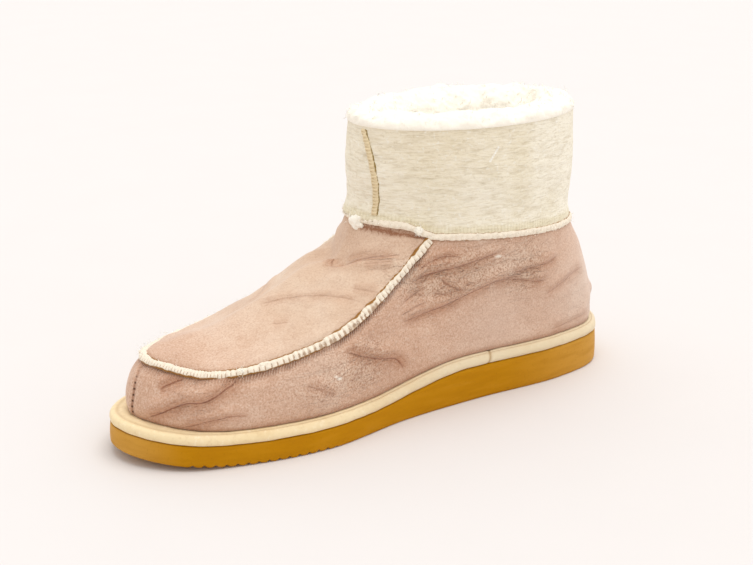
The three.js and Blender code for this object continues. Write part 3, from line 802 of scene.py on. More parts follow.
def brushed_sheepskin(colours):
    """Sheepskin dyed rose beige and brushed on its flesh side: a matt nap that is mottled like
    clouds, with fine pores and crinkles, paler where it is rubbed, and painted shade in and beside
    its creases, crinkles and pleats, along the sole and under the seams."""
    material, tree, shader = new_material(
        "brushed_sheepskin", Roughness=0.8, Sheen_Weight=0.25, Sheen_Roughness=0.4, Specular_IOR_Level=0.2
    )
    add = partial(add_node, tree)
    place = add("ShaderNodeTexCoord", output="Object")
    marks = {name: add("ShaderNodeAttribute", output="Fac", attribute_name=name) for name in UPPER_MARKS}
    clouds = add("ShaderNodeTexNoise", {"Vector": place, "Scale": per_mm(34), "Detail": 3})
    mottle = add("ShaderNodeTexNoise", {"Vector": place, "Scale": per_mm(6), "Detail": 4})
    pore = {"Vector": place, "Scale": per_mm(0.85), "Detail": 2, "Roughness": 0.6}
    pores = add("ShaderNodeTexNoise", pore)
    # The apron is smoother.
    calm = add("ShaderNodeMath", {0: marks["apron"], 1: 0.5}, operation="MULTIPLY")
    pores = add("ShaderNodeMix", {"Factor": calm, "A": pores, "B": 0.5})
    grain = add("ShaderNodeMath", {0: pores, 1: marks["crinkle"]}, operation="MULTIPLY")
    # Crinkles lie along the foot, so their pattern is drawn out along x. Beside a crease they lie
    # along the crease.
    drawn = {"Vector": place, "Rotation": (0, 0.3, 0), "Scale": (0.26, 0.4, 1)}
    drawn = add("ShaderNodeMapping", drawn)
    crinkle = {"Vector": drawn, "Scale": per_mm(4.4), "Detail": 2, "Distortion": 0.6}
    crinkles = add("ShaderNodeTexNoise", crinkle)
    along = add("ShaderNodeMath", {0: marks["crease_along"], 1: 0.13}, operation="MULTIPLY")
    beside = add("ShaderNodeCombineXYZ", {0: along, 1: marks["crease_away"]})
    # Marks are in millimetres, so this pattern's scale is one over its size.
    streak = {"Vector": beside, "Scale": 1 / 2.2, "Detail": 2, "Distortion": 0.4}
    streaks = add("ShaderNodeTexNoise", streak)
    # Where it is crinkled the grain is coarse too.
    coarse = {"Vector": place, "Scale": per_mm(2.1), "Detail": 3, "Roughness": 0.65, "Distortion": 0.9}
    crackle = add("ShaderNodeTexNoise", coarse)
    rough = add("ShaderNodeMath", {0: crackle, 1: marks["crinkle"]}, operation="MULTIPLY")
    flecks = add("ShaderNodeMath", {0: marks["crinkle"], 1: grain}, operation="SUBTRACT")
    # Thin lines: where a crease's distance, swayed a little, is nil, and where a pattern crosses its
    # middle.
    lines = {}
    for name, field, factor, offset, width in (
        ("crease", mottle, 1.2, marks["crease_away"], 0.6),
        ("toe", mottle, 0.3, marks["toe_away"], 0.85),
        ("loops", crackle, 4, marks["loops_away"], 1.0),
        ("crinkle", crinkles, 1, 0, 0.03),
        ("streak", streaks, 1, 0, 0.05),
    ):
        centred = add("ShaderNodeMath", {0: field, 1: 0.5}, operation="SUBTRACT")
        swayed = add("ShaderNodeMath", {0: centred, 1: factor, 2: offset}, operation="MULTIPLY_ADD")
        gap = add("ShaderNodeMath", {0: swayed}, operation="ABSOLUTE")
        fade = {"Value": gap, "From Min": 0, "From Max": width, "To Min": 1, "To Max": 0}
        thin = add("ShaderNodeMapRange", fade, interpolation_type="SMOOTHSTEP")
        lines[name] = add("ShaderNodeMath", {0: thin, 1: marks[name]}, operation="MULTIPLY")
    turns = add("ShaderNodeMath", {0: marks["toe_along"], 1: 2 * np.pi / 2.9}, operation="MULTIPLY")
    wave = add("ShaderNodeMath", {0: turns}, operation="SINE")
    stitch = add("ShaderNodeMapRange", {"Value": wave, "From Min": 0.2, "From Max": 0.8})
    holes = add("ShaderNodeMath", {0: stitch, 1: lines["toe"]}, operation="MULTIPLY")
    # The quarter is gathered into the apron seam in fine pleats, whose grooves are darkened with painted
    # shade.
    turns = add("ShaderNodeMath", {0: marks["seam_along"], 1: 2 * np.pi / 1.35}, operation="MULTIPLY")
    swayed = add("ShaderNodeMath", {0: mottle, 1: 11, 2: turns}, operation="MULTIPLY_ADD")
    wave = add("ShaderNodeMath", {0: swayed}, operation="SINE")
    some = add("ShaderNodeMapRange", {"Value": clouds, "From Min": 0.3, "From Max": 0.45})
    gathered = add("ShaderNodeMath", {0: marks["gather"], 1: some}, operation="MULTIPLY")
    pleats = add("ShaderNodeMath", {0: wave, 1: gathered}, operation="MULTIPLY")
    parts = {MIX_FACTOR: marks["apron"], MIX_UNDER: opaque(colours.quarter), MIX_OVER: opaque(colours.apron)}
    dyed = add("ShaderNodeMix", parts, MIX_RESULT, data_type="RGBA")
    tints = (
        (clouds, 0.45, 0.7, 0.14, colours.crease),
        (clouds, 0.5, 0.3, 0.14, colours.wool),
        (mottle, 0.48, 0.75, 0.12, colours.crease),
        (pores, 0.5, 0.7, 0.4, colours.crease),
        (pores, 0.48, 0.3, 0.22, colours.wool),
        (marks["worn"], 0, 1, 0.5, linear("e2cfc0")),
        (grain, 0.36, 0.56, 0.36, colours.crease),
        (rough, 0.32, 0.55, 0.08, colours.crease),
        (flecks, 0.3, 0.56, 0.5, linear("e6cfb8")),
        # Painted shade from here: a warm bell round each crease, the crinkle lines, thin streaks beside the
        # creases, the pleats' grooves, and the low mark along the sole, beside the apron seam and under the
        # collar seam, which also holds the brown thread loops.
        (marks["streak"], 0, 1, 0.32, linear("b06a3c")),
        (lines["crinkle"], 0, 1, 0.32, colours.crease),
        (lines["streak"], 0, 1, 0.3, colours.crease),
        (pleats, 0.1, 0.9, 0.7, linear("925c3c")),
        (marks["low"], 0.1, 1, 0.5, colours.crease),
        (lines["loops"], 0, 1, 0.7, linear("84491f")),
        # Painted shade in the crease lines.
        (lines["crease"], 0, 1.2, 0.62, linear("7d3d1e")),
        (lines["toe"], 0, 0.7, 0.6, colours.crease),
        (holes, 0.1, 0.6, 0.85, linear("4a2e1e")),
        (marks["rub"], 0.35, 0.9, 0.75, colours.wool),
    )
    bumps = (
        (mottle, 0.5, 1),
        (crinkles, 0.5, 1),
        (rough, -1.0, 1),
        (lines["crinkle"], -0.2, 1),
        (lines["streak"], -0.15, 1),
        (pores, -0.18, 1),
        (pleats, -0.35, 1),
        (lines["crease"], -0.15, 1),
        (lines["toe"], -0.5, 1),
    )
    finish_look(tree, shader, dyed, tints, bumps)
    return material


def undyed_skin(colours):
    """Undyed sheepskin, its flesh side out: cream and dry, with fine wrinkles that lie along the band,
    with painted shade in the grooves of its wrinkles, folds and gathers and painted highlight on the
    wrinkles' crests, pale flecks and tan specks, and a tanner beige in broad patches."""
    material, tree, shader = new_material(
        "undyed_skin", Roughness=0.85, Sheen_Weight=0.06, Sheen_Roughness=0.5, Specular_IOR_Level=0.15
    )
    add = partial(add_node, tree)
    place = add("ShaderNodeTexCoord", output="Object")
    along, comb, scratch, tan = (
        add("ShaderNodeAttribute", output="Fac", attribute_name=name)
        for name in ("band_along", "comb", "scratch", "tan")
    )
    band = add("ShaderNodeMapping", {"Vector": place, "Scale": (0.2, 0.2, 1)})
    patches = add("ShaderNodeTexNoise", {"Vector": place, "Scale": per_mm(28), "Detail": 3})
    wrinkle = {"Vector": band, "Scale": per_mm(0.95), "Detail": 3, "Roughness": 0.6, "Distortion": 0.5}
    wrinkles = add("ShaderNodeTexNoise", wrinkle)
    broad = {"Vector": band, "Scale": per_mm(3), "Detail": 3, "Distortion": 0.7}
    folds = add("ShaderNodeTexNoise", broad)
    specks = add("ShaderNodeTexNoise", {"Vector": place, "Scale": per_mm(1.7), "Detail": 3})
    turns = add("ShaderNodeMath", {0: along, 1: 2 * np.pi / 1.9}, operation="MULTIPLY")
    wave = add("ShaderNodeMath", {0: turns}, operation="SINE")
    some = add("ShaderNodeMapRange", {"Value": patches, "From Min": 0.38, "From Max": 0.5})
    combed = add("ShaderNodeMath", {0: comb, 1: some}, operation="MULTIPLY")
    gathers = add("ShaderNodeMath", {0: wave, 1: combed}, operation="MULTIPLY")
    tints = (
        (patches, 0.45, 0.7, 0.3, linear("dccda6")),
        (tan, 0, 1, 0.36, linear("d8c298")),
        # Painted shade in the grooves of the wrinkles and painted highlight on their crests, then painted
        # shade in the grooves of the folds.
        (wrinkles, 0.5, 0.68, 0.26, linear("b09a70")),
        (wrinkles, 0.48, 0.32, 0.26, linear("fffaf0")),
        (folds, 0.52, 0.7, 0.2, linear("a89064")),
        (specks, 0.62, 0.76, 0.25, linear("a58b5e")),
        (specks, 0.4, 0.3, 0.35, linear("fffdf6")),
        (comb, 0.1, 1, 0.25, linear("dccb92")),
        # Painted shade in the grooves of the gathers.
        (gathers, 0.1, 0.9, 0.14, linear("b29c6e")),
        (scratch, 0.4, 0.9, 0.9, linear("fffdf8")),
    )
    bumps = ((folds, -0.7, 1), (wrinkles, -0.55, 1), (specks, -0.2, 1), (gathers, -0.1, 1))
    finish_look(tree, shader, opaque(colours.cuff), tints, bumps)
    return material


def raw_fleece(name, colours, curl_depth, glow=0):
    """Undyed lamb's wool: near white and quite matt, with cream in its depths, which is painted shade
    laid on its curls, and curls of a few millimetres. A faint painted glow, an emission, stands for
    the light that passes through thin fibres."""
    material, tree, shader = new_material(
        name,
        Roughness=0.95,
        Sheen_Weight=0.3,
        Sheen_Roughness=0.6,
        Specular_IOR_Level=0.1,
        Emission_Color=opaque(colours.wool),
        Emission_Strength=glow,
    )
    place = add_node(tree, "ShaderNodeTexCoord", output="Object")
    curl = {"Vector": place, "Scale": per_mm(3.5), "Detail": 4, "Distortion": 1.5}
    curls = add_node(tree, "ShaderNodeTexNoise", curl)
    # Painted shade: cream in the depths of the curls.
    tints = ((curls, 0.5, 0.75, 0.3, linear("f2e6cc")),)
    finish_look(tree, shader, opaque(colours.wool), tints, ((curls, curl_depth, 1),))
    return material


def overcast_thread(name, thread, gaps, edges):
    """Thick soft thread overcast on a raw wool edge: off-white and dull, greyer between the stitches,
    with brown along the edges, partly dye and partly painted shade, and a woolly unevenness."""
    material, tree, shader = new_material(
        name, Roughness=0.85, Sheen_Weight=0.2, Sheen_Roughness=0.5, Specular_IOR_Level=0.25
    )
    add = partial(add_node, tree)
    place = add("ShaderNodeTexCoord", output="Object")
    wool = add("ShaderNodeTexNoise", {"Vector": place, "Scale": per_mm(1.5), "Detail": 4})
    tints = []
    for mark, low, high, tone in (("crest", 0.35, 0.85, thread), ("edge", 0.55, 1.15, edges)):
        source = add("ShaderNodeAttribute", output="Fac", attribute_name=mark)
        uneven = add("ShaderNodeMath", {0: wool, 1: 0.6, 2: source}, operation="MULTIPLY_ADD")
        tints.append((uneven, low, high, 1, tone))
    finish_look(tree, shader, opaque(gaps), tints, ((wool, 0.4, 0.7),))
    return material


def gum_rubber(colours):
    """Natural gum rubber, moulded: caramel, faintly glossy, with flow streaks that lie along the
    edge, paler towards the ends, and dusty pores."""
    material, tree, shader = new_material("gum_rubber", Roughness=0.6, IOR=1.52, Specular_IOR_Level=0.07)
    add = partial(add_node, tree)
    place = add("ShaderNodeTexCoord", output="Object")
    drawn = add("ShaderNodeMapping", {"Vector": place, "Scale": (0.15, 0.15, 1)})
    streaks = add("ShaderNodeTexNoise", {"Vector": drawn, "Scale": per_mm(3), "Detail": 4})
    pores = add("ShaderNodeTexNoise", {"Vector": place, "Scale": per_mm(1.2), "Detail": 3})
    pale = add("ShaderNodeAttribute", output="Fac", attribute_name="pale")
    tints = (
        (pale, 0, 1, 0.6, linear("d6a452")),
        (streaks, 0.45, 0.7, 0.25, linear("a0650a")),
        (streaks, 0.5, 0.3, 0.2, linear("c98d2c")),
        (pores, 0.6, 0.75, 0.25, linear("8c5606")),
    )
    finish_look(tree, shader, opaque(colours.rubber), tints, ((streaks, 0.3, 0.4), (pores, 0.15, 0.4)))
    gloss = {"Value": streaks, "From Min": 0.3, "From Max": 0.7, "To Min": 0.42, "To Max": 0.6}
    tree.links.new(add("ShaderNodeMapRange", gloss), shader.inputs["Roughness"])
    return material


def wrapped_rand(colours):
    """Thin cream leather wrapped round the midsole's edge: smooth and faintly waxy, yellowed in
    patches, greyer with age towards the heel, with a fine pebble and dust."""
    material, tree, shader = new_material("wrapped_rand", Roughness=0.58, Specular_IOR_Level=0.35)
    add = partial(add_node, tree)
    place = add("ShaderNodeTexCoord", output="Object")
    stain = add("ShaderNodeTexNoise", {"Vector": place, "Scale": per_mm(24), "Detail": 4})
    pebble = add("ShaderNodeTexVoronoi", {"Vector": place, "Scale": per_mm(1.4)}, "Distance")
    dust = add("ShaderNodeTexNoise", {"Vector": place, "Scale": per_mm(2.2), "Detail": 4})
    aged = add("ShaderNodeAttribute", output="Fac", attribute_name="aged")
    line = add("ShaderNodeAttribute", output="Fac", attribute_name="line")
    tints = (
        (stain, 0.45, 0.68, 0.5, linear("dfbf86")),
        (dust, 0.56, 0.74, 0.3, linear("c9a878")),
        (dust, 0.42, 0.3, 0.35, linear("fff2d8")),
        (aged, 0, 1, 0.55, linear("d8cbb2")),
        # Painted shade in the rand's groove, with the wrap's dark joint and a dark broken line against the
        # outsole.
        (line, 0, 1, 1, linear("a9834f")),
    )
    finish_look(tree, shader, opaque(colours.rand), tints, ((pebble, 0.12, 0.35), (dust, 0.25, 0.4)))
    return material


def paper_floor():
    """A sheet of white background paper: matt, with a faint mottle."""
    material, tree, shader = new_material("paper_floor", Roughness=0.95, Specular_IOR_Level=0.1)
    place = add_node(tree, "ShaderNodeTexCoord", output="Object")
    mottle = add_node(tree, "ShaderNodeTexNoise", {"Vector": place, "Scale": per_mm(60), "Detail": 2})
    tones = {MIX_UNDER: opaque(linear("e0dcda")), MIX_OVER: opaque(linear("e2dedc"))}
    paper = add_node(tree, "ShaderNodeMix", {MIX_FACTOR: mottle, **tones}, MIX_RESULT, data_type="RGBA")
    tree.links.new(paper, shader.inputs["Base Color"])
    return material


# Soft pieces


def locks(roots, outward, length, radius, rng, rings, lean, curl):
    """Curled locks of wool. Each runs from its root along a leaning line, with a helix round it that
    widens on the way, and its small triangle of a section narrows to a point."""
    count = len(roots)
    ahead = normalised(outward + rng.normal(0, lean, (count, 3)))
    side = normalised(np.cross(ahead, rng.normal(size=(count, 3))))
    other = np.cross(ahead, side)
    t = np.linspace(0, 1, rings + 1)
    length = length * rng.uniform(0.65, 1.25, count)
    helix = rng.uniform(0, 2 * np.pi, (count, 1)) + rng.uniform(0.5, 1.4, (count, 1)) * 2 * np.pi * t
    swing = (curl * rng.uniform(0.5, 1.3, (count, 1)) * t)[..., None]
    middle = roots[:, None] + ahead[:, None] * (length[:, None] * t)[..., None]
    round_line = np.cos(helix)[..., None] * side[:, None] + np.sin(helix)[..., None] * other[:, None]
    middle = middle + swing * round_line
    thick = (radius * rng.uniform(0.7, 1.2, (count, 1)) * (1 - t) ** 0.55)[..., None, None]
    angle = 2 * np.pi * np.arange(LOCK_SIDES) / LOCK_SIDES
    star = np.cos(angle)[:, None] * side[:, None, None] + np.sin(angle)[:, None] * other[:, None, None]
    points = middle[:, :, None] + thick * star
    body = grid_faces(rings, LOCK_SIDES, close_columns=True)[:, ::-1]
    tip = rings * LOCK_SIDES
    last = tip - LOCK_SIDES + np.arange(LOCK_SIDES)
    point = np.stack([last, np.roll(last, -1), np.full(LOCK_SIDES, tip)], axis=1)
    foot = [[2, 1, 0]]
    triangles = np.concatenate([body[:, [0, 1, 2]], body[:, [0, 2, 3]], foot, point])
    stride = tip + 1
    flat = points.reshape(count, -1, 3)[:, :stride]
    return flat.reshape(-1, 3), (triangles + stride * np.arange(count)[:, None, None]).reshape(-1, 3)


def overcast_ridge(line, height, pitch, closed, rng, dark, bars=1, apart=0):
    """A raised seam: a full half-round from the line below the joint to the one above, with
    stitches across it as waves along its length, each a little higher or lower, and soft lumps. Its
    pitch is one length, or one for each point. Where the stitches stand apart, from 0 to 1, more of
    what lies between them shows. Its underside closes it, and open ends close to a point. Gives
    points, triangles, how near each point is to a stitch's crest, and how near to the dark edges,
    whose widths are shares of the seam's."""
    below, joint, above, out = line
    angle = np.linspace(0, np.pi, RIDGE_ARC)[:, None]
    at = lengths_along(joint)
    rate = at[1] / pitch + np.zeros(len(at))
    passed = np.cumsum(rate) - rate[0]
    total = rate.sum() if closed else passed[-1]
    stitches = int(np.round(total))
    wobble = 0 if closed else 0.12 * np.sin(at / 7.3) + 0.1 * np.sin(at / 3.1 + 1)
    phase = np.clip(passed / total * stitches + wobble, 0, stitches) + 0.12 * (angle / np.pi)
    each = np.floor(phase).astype(int) % stitches
    uneven = rng.uniform(0.6, 1.25, stitches)[each]
    wave = np.abs(np.sin(np.pi * phase)) ** 0.8
    across = (1 - np.cos(angle)) / 2
    wide = 1 + 0.12 * soft_waves(joint, 5, 92)
    base = joint + (below - joint) * wide[:, None] + (above - below) * (across * wide)[..., None]
    full = np.sin(angle) ** 0.75
    rise = full * (height * (0.7 + 0.34 * wave * uneven) + 0.35 * soft_waves(base, 2.6, 91))
    top = base + out * (rise - 0.4)[..., None]
    low_half = 1 - smoothstep(across, 0.3, 0.7)
    between = 1 - smoothstep(wave * uneven, 0.45 * apart, 0.9 + 0.15 * apart)
    crest = 1 - bars * between * (0.35 + 0.9 * low_half + 0.3 * apart * (1 - low_half))
    below_dark, above_dark = (
        share * (0.8 + 0.6 * soft_waves(joint, 11, 93 + k)) for k, share in enumerate(dark)
    )
    clear = smoothstep(across - below_dark, -0.05, 0.07) * smoothstep(1 - across - above_dark, -0.05, 0.07)
    grid = np.concatenate([top, (joint - out * 1.3)[None]])
    blank = np.zeros((1, len(at)))
    marks = {"crest": np.concatenate([crest, blank]), "edge": np.concatenate([1 - clear, blank + 1])}
    if not closed:
        ends = smoothstep(np.minimum(at, at[-1] - at), 0, 1.2)[None, :, None]
        core = joint - out * 0.6
        grid = core + (grid - core) * ends
    faces = grid_faces(*grid.shape[:2], close_rows=True, close_columns=closed)
    points, triangles, first = joined((grid, faces))
    return points, triangles, {name: values.ravel()[first] for name, values in marks.items()}


def tuft(middle, sizes, seed):
    """A tuft of wool: an oval ball, with its sizes outwards, sideways and up, and soft lumps."""
    polar, around = np.linspace(0, np.pi, 22)[:, None], 2 * np.pi * np.arange(34) / 34
    wide = np.sin(polar)
    ball = np.stack([wide * np.cos(around), wide * np.sin(around), np.cos(polar) + 0 * around], axis=-1)
    lumps = 0.18 * soft_waves(ball, 1.1, seed) + 0.12 * soft_waves(ball, 0.45, seed + 1)
    ball = ball * (1 + lumps)[..., None]
    out = normalised((np.array(middle, float) - [COLLAR["along"], COLLAR["side"], middle[2]]) * [1, 2, 1])
    axes = np.array([out, np.cross([0, 0, 1], out), [0, 0, 1]]) * np.array(sizes)[:, None]
    points, triangles, _ = joined((ball @ axes + middle, grid_faces(*ball.shape[:2], close_columns=True)))
    return points, triangles


def wisps(points, out, count, length, rng):
    """Stray wool fibres on a seam: thin curled needles that start at seeded places of a line."""
    pick = rng.integers(0, len(points), count)
    roots = points[pick] + rng.normal(0, 0.8, (count, 3))
    return locks(roots, out[pick], length, 0.13, rng, rings=3, lean=1.2, curl=0.7)


def spots(points, rows):
    """How far points lie in soft spots: the sum of a bell round each row's place, times its amount."""
    total = np.zeros(points.shape[:-1])
    for along, side, up, reach, amount in rows:
        away = points - np.array([along, side, up])
        total += amount * np.exp(-((away / reach) ** 2).sum(axis=-1))
    return total


def skin_of_upper(form, rows):
    """The upper's outside with its soft lumps, seam valleys, tuck and creases, and the marks that
    its material reads."""
    share = np.linspace(0, 1, rows)[:, None] + np.zeros(len(form.foot))
    grid = form.at(share)
    normals = grid_normals(grid)
    flat, flat_normals = grid.reshape(-1, 3), normals.reshape(-1, 3)
    along = grid[..., 0]
    away = (share - form.seam_share) * form.length
    seam_along = lengths_along(form.quarter(np.ones((1, len(form.foot))))[0])
    has_apron = smoothstep(form.apron_length, 1, 8)
    above_foot, below_collar = share * form.length, (1 - share) * form.length
    seam_bell = bell(away, 3.2) * has_apron
    crinkle = 0.08 + spots(grid, CRINKLED)
    small_lumps = soft_waves(grid * [0.7, 1, 1.3], 14, 8)
    lumps = 0.6 * soft_waves(grid, 46, 3) + (0.25 + 0.35 * crinkle) * small_lumps
    shift = lumps * smoothstep(above_foot, 0, 14) * smoothstep(below_collar, 0, 8)
    puff = bell(np.abs(away) - 8, 5) * has_apron
    shift += 0.6 * puff * smoothstep(above_foot, 3, 12) - 0.9 * seam_bell
    shift -= 0.6 * bell(above_foot, 2.5) + 0.4 * bell(below_collar, 2)
    shift -= throat_tuck(form.turn, below_collar)
    # Folds die out at the seams and the sole.
    free = 1 - 0.9 * bell(away, 4.5) * has_apron
    free = free * smoothstep(below_collar, 0, 6) * smoothstep(above_foot, 0, 4)
    crease_away = np.full(len(flat), FAR, float)
    crease_along, crease = np.zeros(len(flat)), np.zeros(len(flat))
    for depth, width, roll_side, line in CREASES.values():
        folded, gap, way, strength = fold(flat, flat_normals, line, depth, width, roll_side)
        shift += folded.reshape(share.shape) * free
        nearer = (strength > 0) & (np.abs(gap) < np.abs(crease_away))
        crease_away = np.where(nearer, gap, crease_away)
        crease_along, crease = np.where(nearer, way, crease_along), np.where(nearer, strength, crease)
    folded, toe_away, toe_along, toe = fold(flat, flat_normals, TOE_SEAM, 0.5, 0.9, -1, (0.05, 0.05))
    shift += folded.reshape(share.shape)
    rub = np.zeros(share.shape)
    for *middle, reach in RUBBED:
        gap = np.linalg.norm((grid - middle) * [0.6, 0.6, 1.3], axis=-1)
        rub = np.maximum(rub, bell(gap, reach))
    # Brown loops of thread hang below the collar seam on the inner side of its front, over a band of painted
    # shade under the whole seam.
    turn = np.degrees(form.turn)
    looped = stretch(turn, 6, 12, 100, 130) * (1 - 0.75 * smoothstep(turn, 44, 54))
    loops_and_shade_under_collar = 0.3 * bell(below_collar, 3) + 0.7 * looped * bell(below_collar - 1.6, 0.8)
    # The apron is paler than the quarters, but less so at the throat and towards the toe, which is painted
    # shade.
    throat = bell(below_collar, 17) * (1 - smoothstep(np.abs(turn), 45, 60))
    pale = (1 - 0.35 * throat) * (1 - 0.8 * smoothstep(along, 185, 258))
    # The quarter is gathered into the apron seam, less so round the toe.
    gathered = (1 - smoothstep(-away, 3, 7)) * (away < 0) * has_apron
    marks = {
        "apron": smoothstep(away, -0.8, 0.8) * has_apron * pale,
        # Painted shade: the crease lines, and a warm bell round each crease.
        "crease": crease * (1 - smoothstep(np.abs(crease_away), 1.4, 2.4)),
        "crease_away": crease_away,
        "crease_along": crease_along,
        "streak": np.minimum(crease, 1) * bell(crease_away, 4),
        "crinkle": np.minimum(crinkle, 1),
        "toe": 1.3 * toe * (1 - smoothstep(np.abs(toe_away), 1.4, 2.4)) * smoothstep(toe_along, 2, 16),
        "toe_away": toe_away,
        "toe_along": toe_along,
        "rub": rub,
        "gather": gathered * (1 - 0.6 * smoothstep(along, *TOE_GATHER)),
        "seam_along": np.broadcast_to(seam_along, share.shape),
        # Painted shade along the foot of the upper, in the valley beside the apron seam and under the collar
        # seam, where the brown thread loops also hang.
        "low": bell(above_foot, 2.2) + seam_bell + loops_and_shade_under_collar,
        "loops": looped * (1 - smoothstep(below_collar, 3, 5)),
        "loops_away": below_collar - 1.5,
        "worn": np.minimum(spots(grid, PALE_SPOTS), 1),
    }
    return grid + normals * shift[..., None], marks


# Operators


class BOOT_OT_sole(bpy.types.Operator):
    """Makes the ribbed gum outsole, the wrapped rand and the fleece insole"""

    bl_idname = "boot.sole"
    bl_label = "Sole"

    def execute(self, context):
        sizes, colours = context.scene.boot_sizes, context.scene.boot_colours
        self.outsole(sizes, colours)
        self.rand(colours)
        self.insole(colours)
        return {"FINISHED"}

    def outsole(self, sizes, colours):
        """Straight rubber sides with eased edges. The tread's ribs are round, with sharp grooves cut
        up between them, through to the edge at the forefoot and inside it at the heel."""
        pitch, depth = sizes.rib_pitch * MM, sizes.rib_depth * MM
        shares = np.array([0, 0.035, 0.07, 0.13, 0.25, 0.4, 0.55, 0.75, 0.9, 1])
        rings = edge_rings(OUTSOLE_EDGE, lambda x: 0, tread_height, outsole_thickness, shares, 1600)
        low = (1 - smoothstep(shares, 0.03, 0.2))[:, None]
        rings[..., 2] += depth * self.grooves(rings, pitch) * stretch(rings[..., 0], *FORE_RIBS) * low
        tread = crossing(rings[0], 24)
        inside = (1 - smoothstep(np.abs(np.linspace(-1, 1, 25)), *HEEL_RIB_ENDS))[None]
        tread[..., 2] += depth * self.grooves(tread, pitch) * stretch(tread[..., 0], *HEEL_RIBS) * inside
        points, triangles, _ = closed_layer(rings, tread, crossing(rings[-1], 4))
        along = points[:, 0]
        pale = np.maximum(1 - smoothstep(along, *PALE_HEEL), smoothstep(along, *PALE_TOE))
        rubber = gum_rubber(colours)
        add_piece("gum_outsole", points, triangles, rubber, "gum_rubber", ["outsole"], {"pale": pale})

    def grooves(self, points, pitch):
        """Grooves across the tread, from 0 to 1: what a rectified sine along the foot leaves."""
        return (1 - np.abs(np.sin(np.pi * points[..., 0] / pitch))) ** 1.3

    def rand(self, colours):
        """A round band, then a groove, then a bead that goes under the upper's foot, and the butt
        joint of the wrap on the inner side. The band and the bead go by a table of insets and
        heights. From the groove in, the inset stretches to the feather line."""
        shares = np.linspace(0, 1, 30)
        rings = []
        for share in shares:
            inset, reach, rise = (
                lookup(RAND, "share", name, share) for name in ("inset", "reach", "height")
            )
            plan = plan_ring(lambda x: inset + reach * (feather_inset(x) - FEATHER_INSET["sides"]), 1000)
            rings.append(np.column_stack([plan, midsole_base(plan[:, 0]) + rise]))
        rings = np.array(rings)
        normals = grid_normals(rings)
        groove = bell(shares - RAND_GROOVE, 0.045)[:, None] + np.zeros(rings.shape[1])
        slanting = rings[..., 0] - RAND_JOINT + (shares[:, None] - 0.5) * 3
        joint = bell(slanting, 0.7) * (rings[..., 1] > 0)
        pulls = soft_waves(rings * [1, 1, 0.25], 9, 21)
        rings = rings + normals * (0.12 * pulls - 0.35 * joint)[..., None]
        bottom, top = crossing(rings[0], 4), crossing(rings[-1], 4)
        points, triangles, first = closed_layer(rings, bottom, top)
        # A dark and broken line lies against the outsole, the wrap's joint is dark, and the groove is
        # darkened with painted shade.
        broken = 0.6 + 0.6 * soft_waves(rings, 5, 23)
        foot = bell(shares, 0.07)[:, None] * np.clip(broken, 0, 1)
        dark = np.maximum(np.maximum(0.35 * groove, 0.8 * joint), 0.8 * foot)
        blank = np.zeros((bottom.size + top.size) // 3)
        marks = {
            "line": np.concatenate([dark.ravel(), blank])[first],
            "aged": 1 - smoothstep(points[:, 0], *AGED_RAND),
        }
        leather = wrapped_rand(colours)
        add_piece("wrapped_midsole", points, triangles, leather, "rand_wrap", ["midsole"], marks)

    def insole(self, colours):
        """A fleece sock: the insole's edge with a soft, lumpy top."""
        shares = np.linspace(0, 1, 8)
        rings = edge_rings(
            INSOLE_EDGE, insole_inset, feather_height, lambda x: INSOLE_THICKNESS, shares, 480
        )
        top = crossing(rings[-1], 40)
        middle = 1 - np.abs(np.linspace(-1, 1, 41))[None] ** 6
        top[..., 2] += middle * (0.9 + 0.7 * soft_waves(top, 7, 31))
        points, triangles, _ = closed_layer(rings, crossing(rings[0], 4), top)
        pile = raw_fleece("fleece_pile", colours, 0.9)
        add_piece("fleece_insole", points, triangles, pile, "fleece", ["insole"])


class BOOT_OT_upper(bpy.types.Operator):
    """Makes the creased upper, one shell with a real wall"""

    bl_idname = "boot.upper"
    bl_label = "Upper"

    def execute(self, context):
        rows, columns = UPPER_GRID
        form = UpperForm(columns)
        outside, marks = skin_of_upper(form, rows)
        # The inside is the plain form set in by the wall and the tuck, straight in at both edges.
        share = np.linspace(0, 1, 22)[:, None] + np.zeros(columns)
        plain = form.at(share)
        normals = grid_normals(plain)
        normals[[0, -1]] = normalised(normals[[0, -1]] * [1, 1, 0])
        deep = UPPER_WALL + throat_tuck(form.turn, (1 - share) * form.length)
        inside = (plain - normals * deep[..., None])[::-1]
        shell = np.concatenate([outside, inside])
        skin = brushed_sheepskin(context.scene.boot_colours)
        marks = with_blank(marks, inside)
        add_piece("skin_upper", shell, closed_faces(shell), skin, "suede", ["upper"], marks)
        return {"FINISHED"}


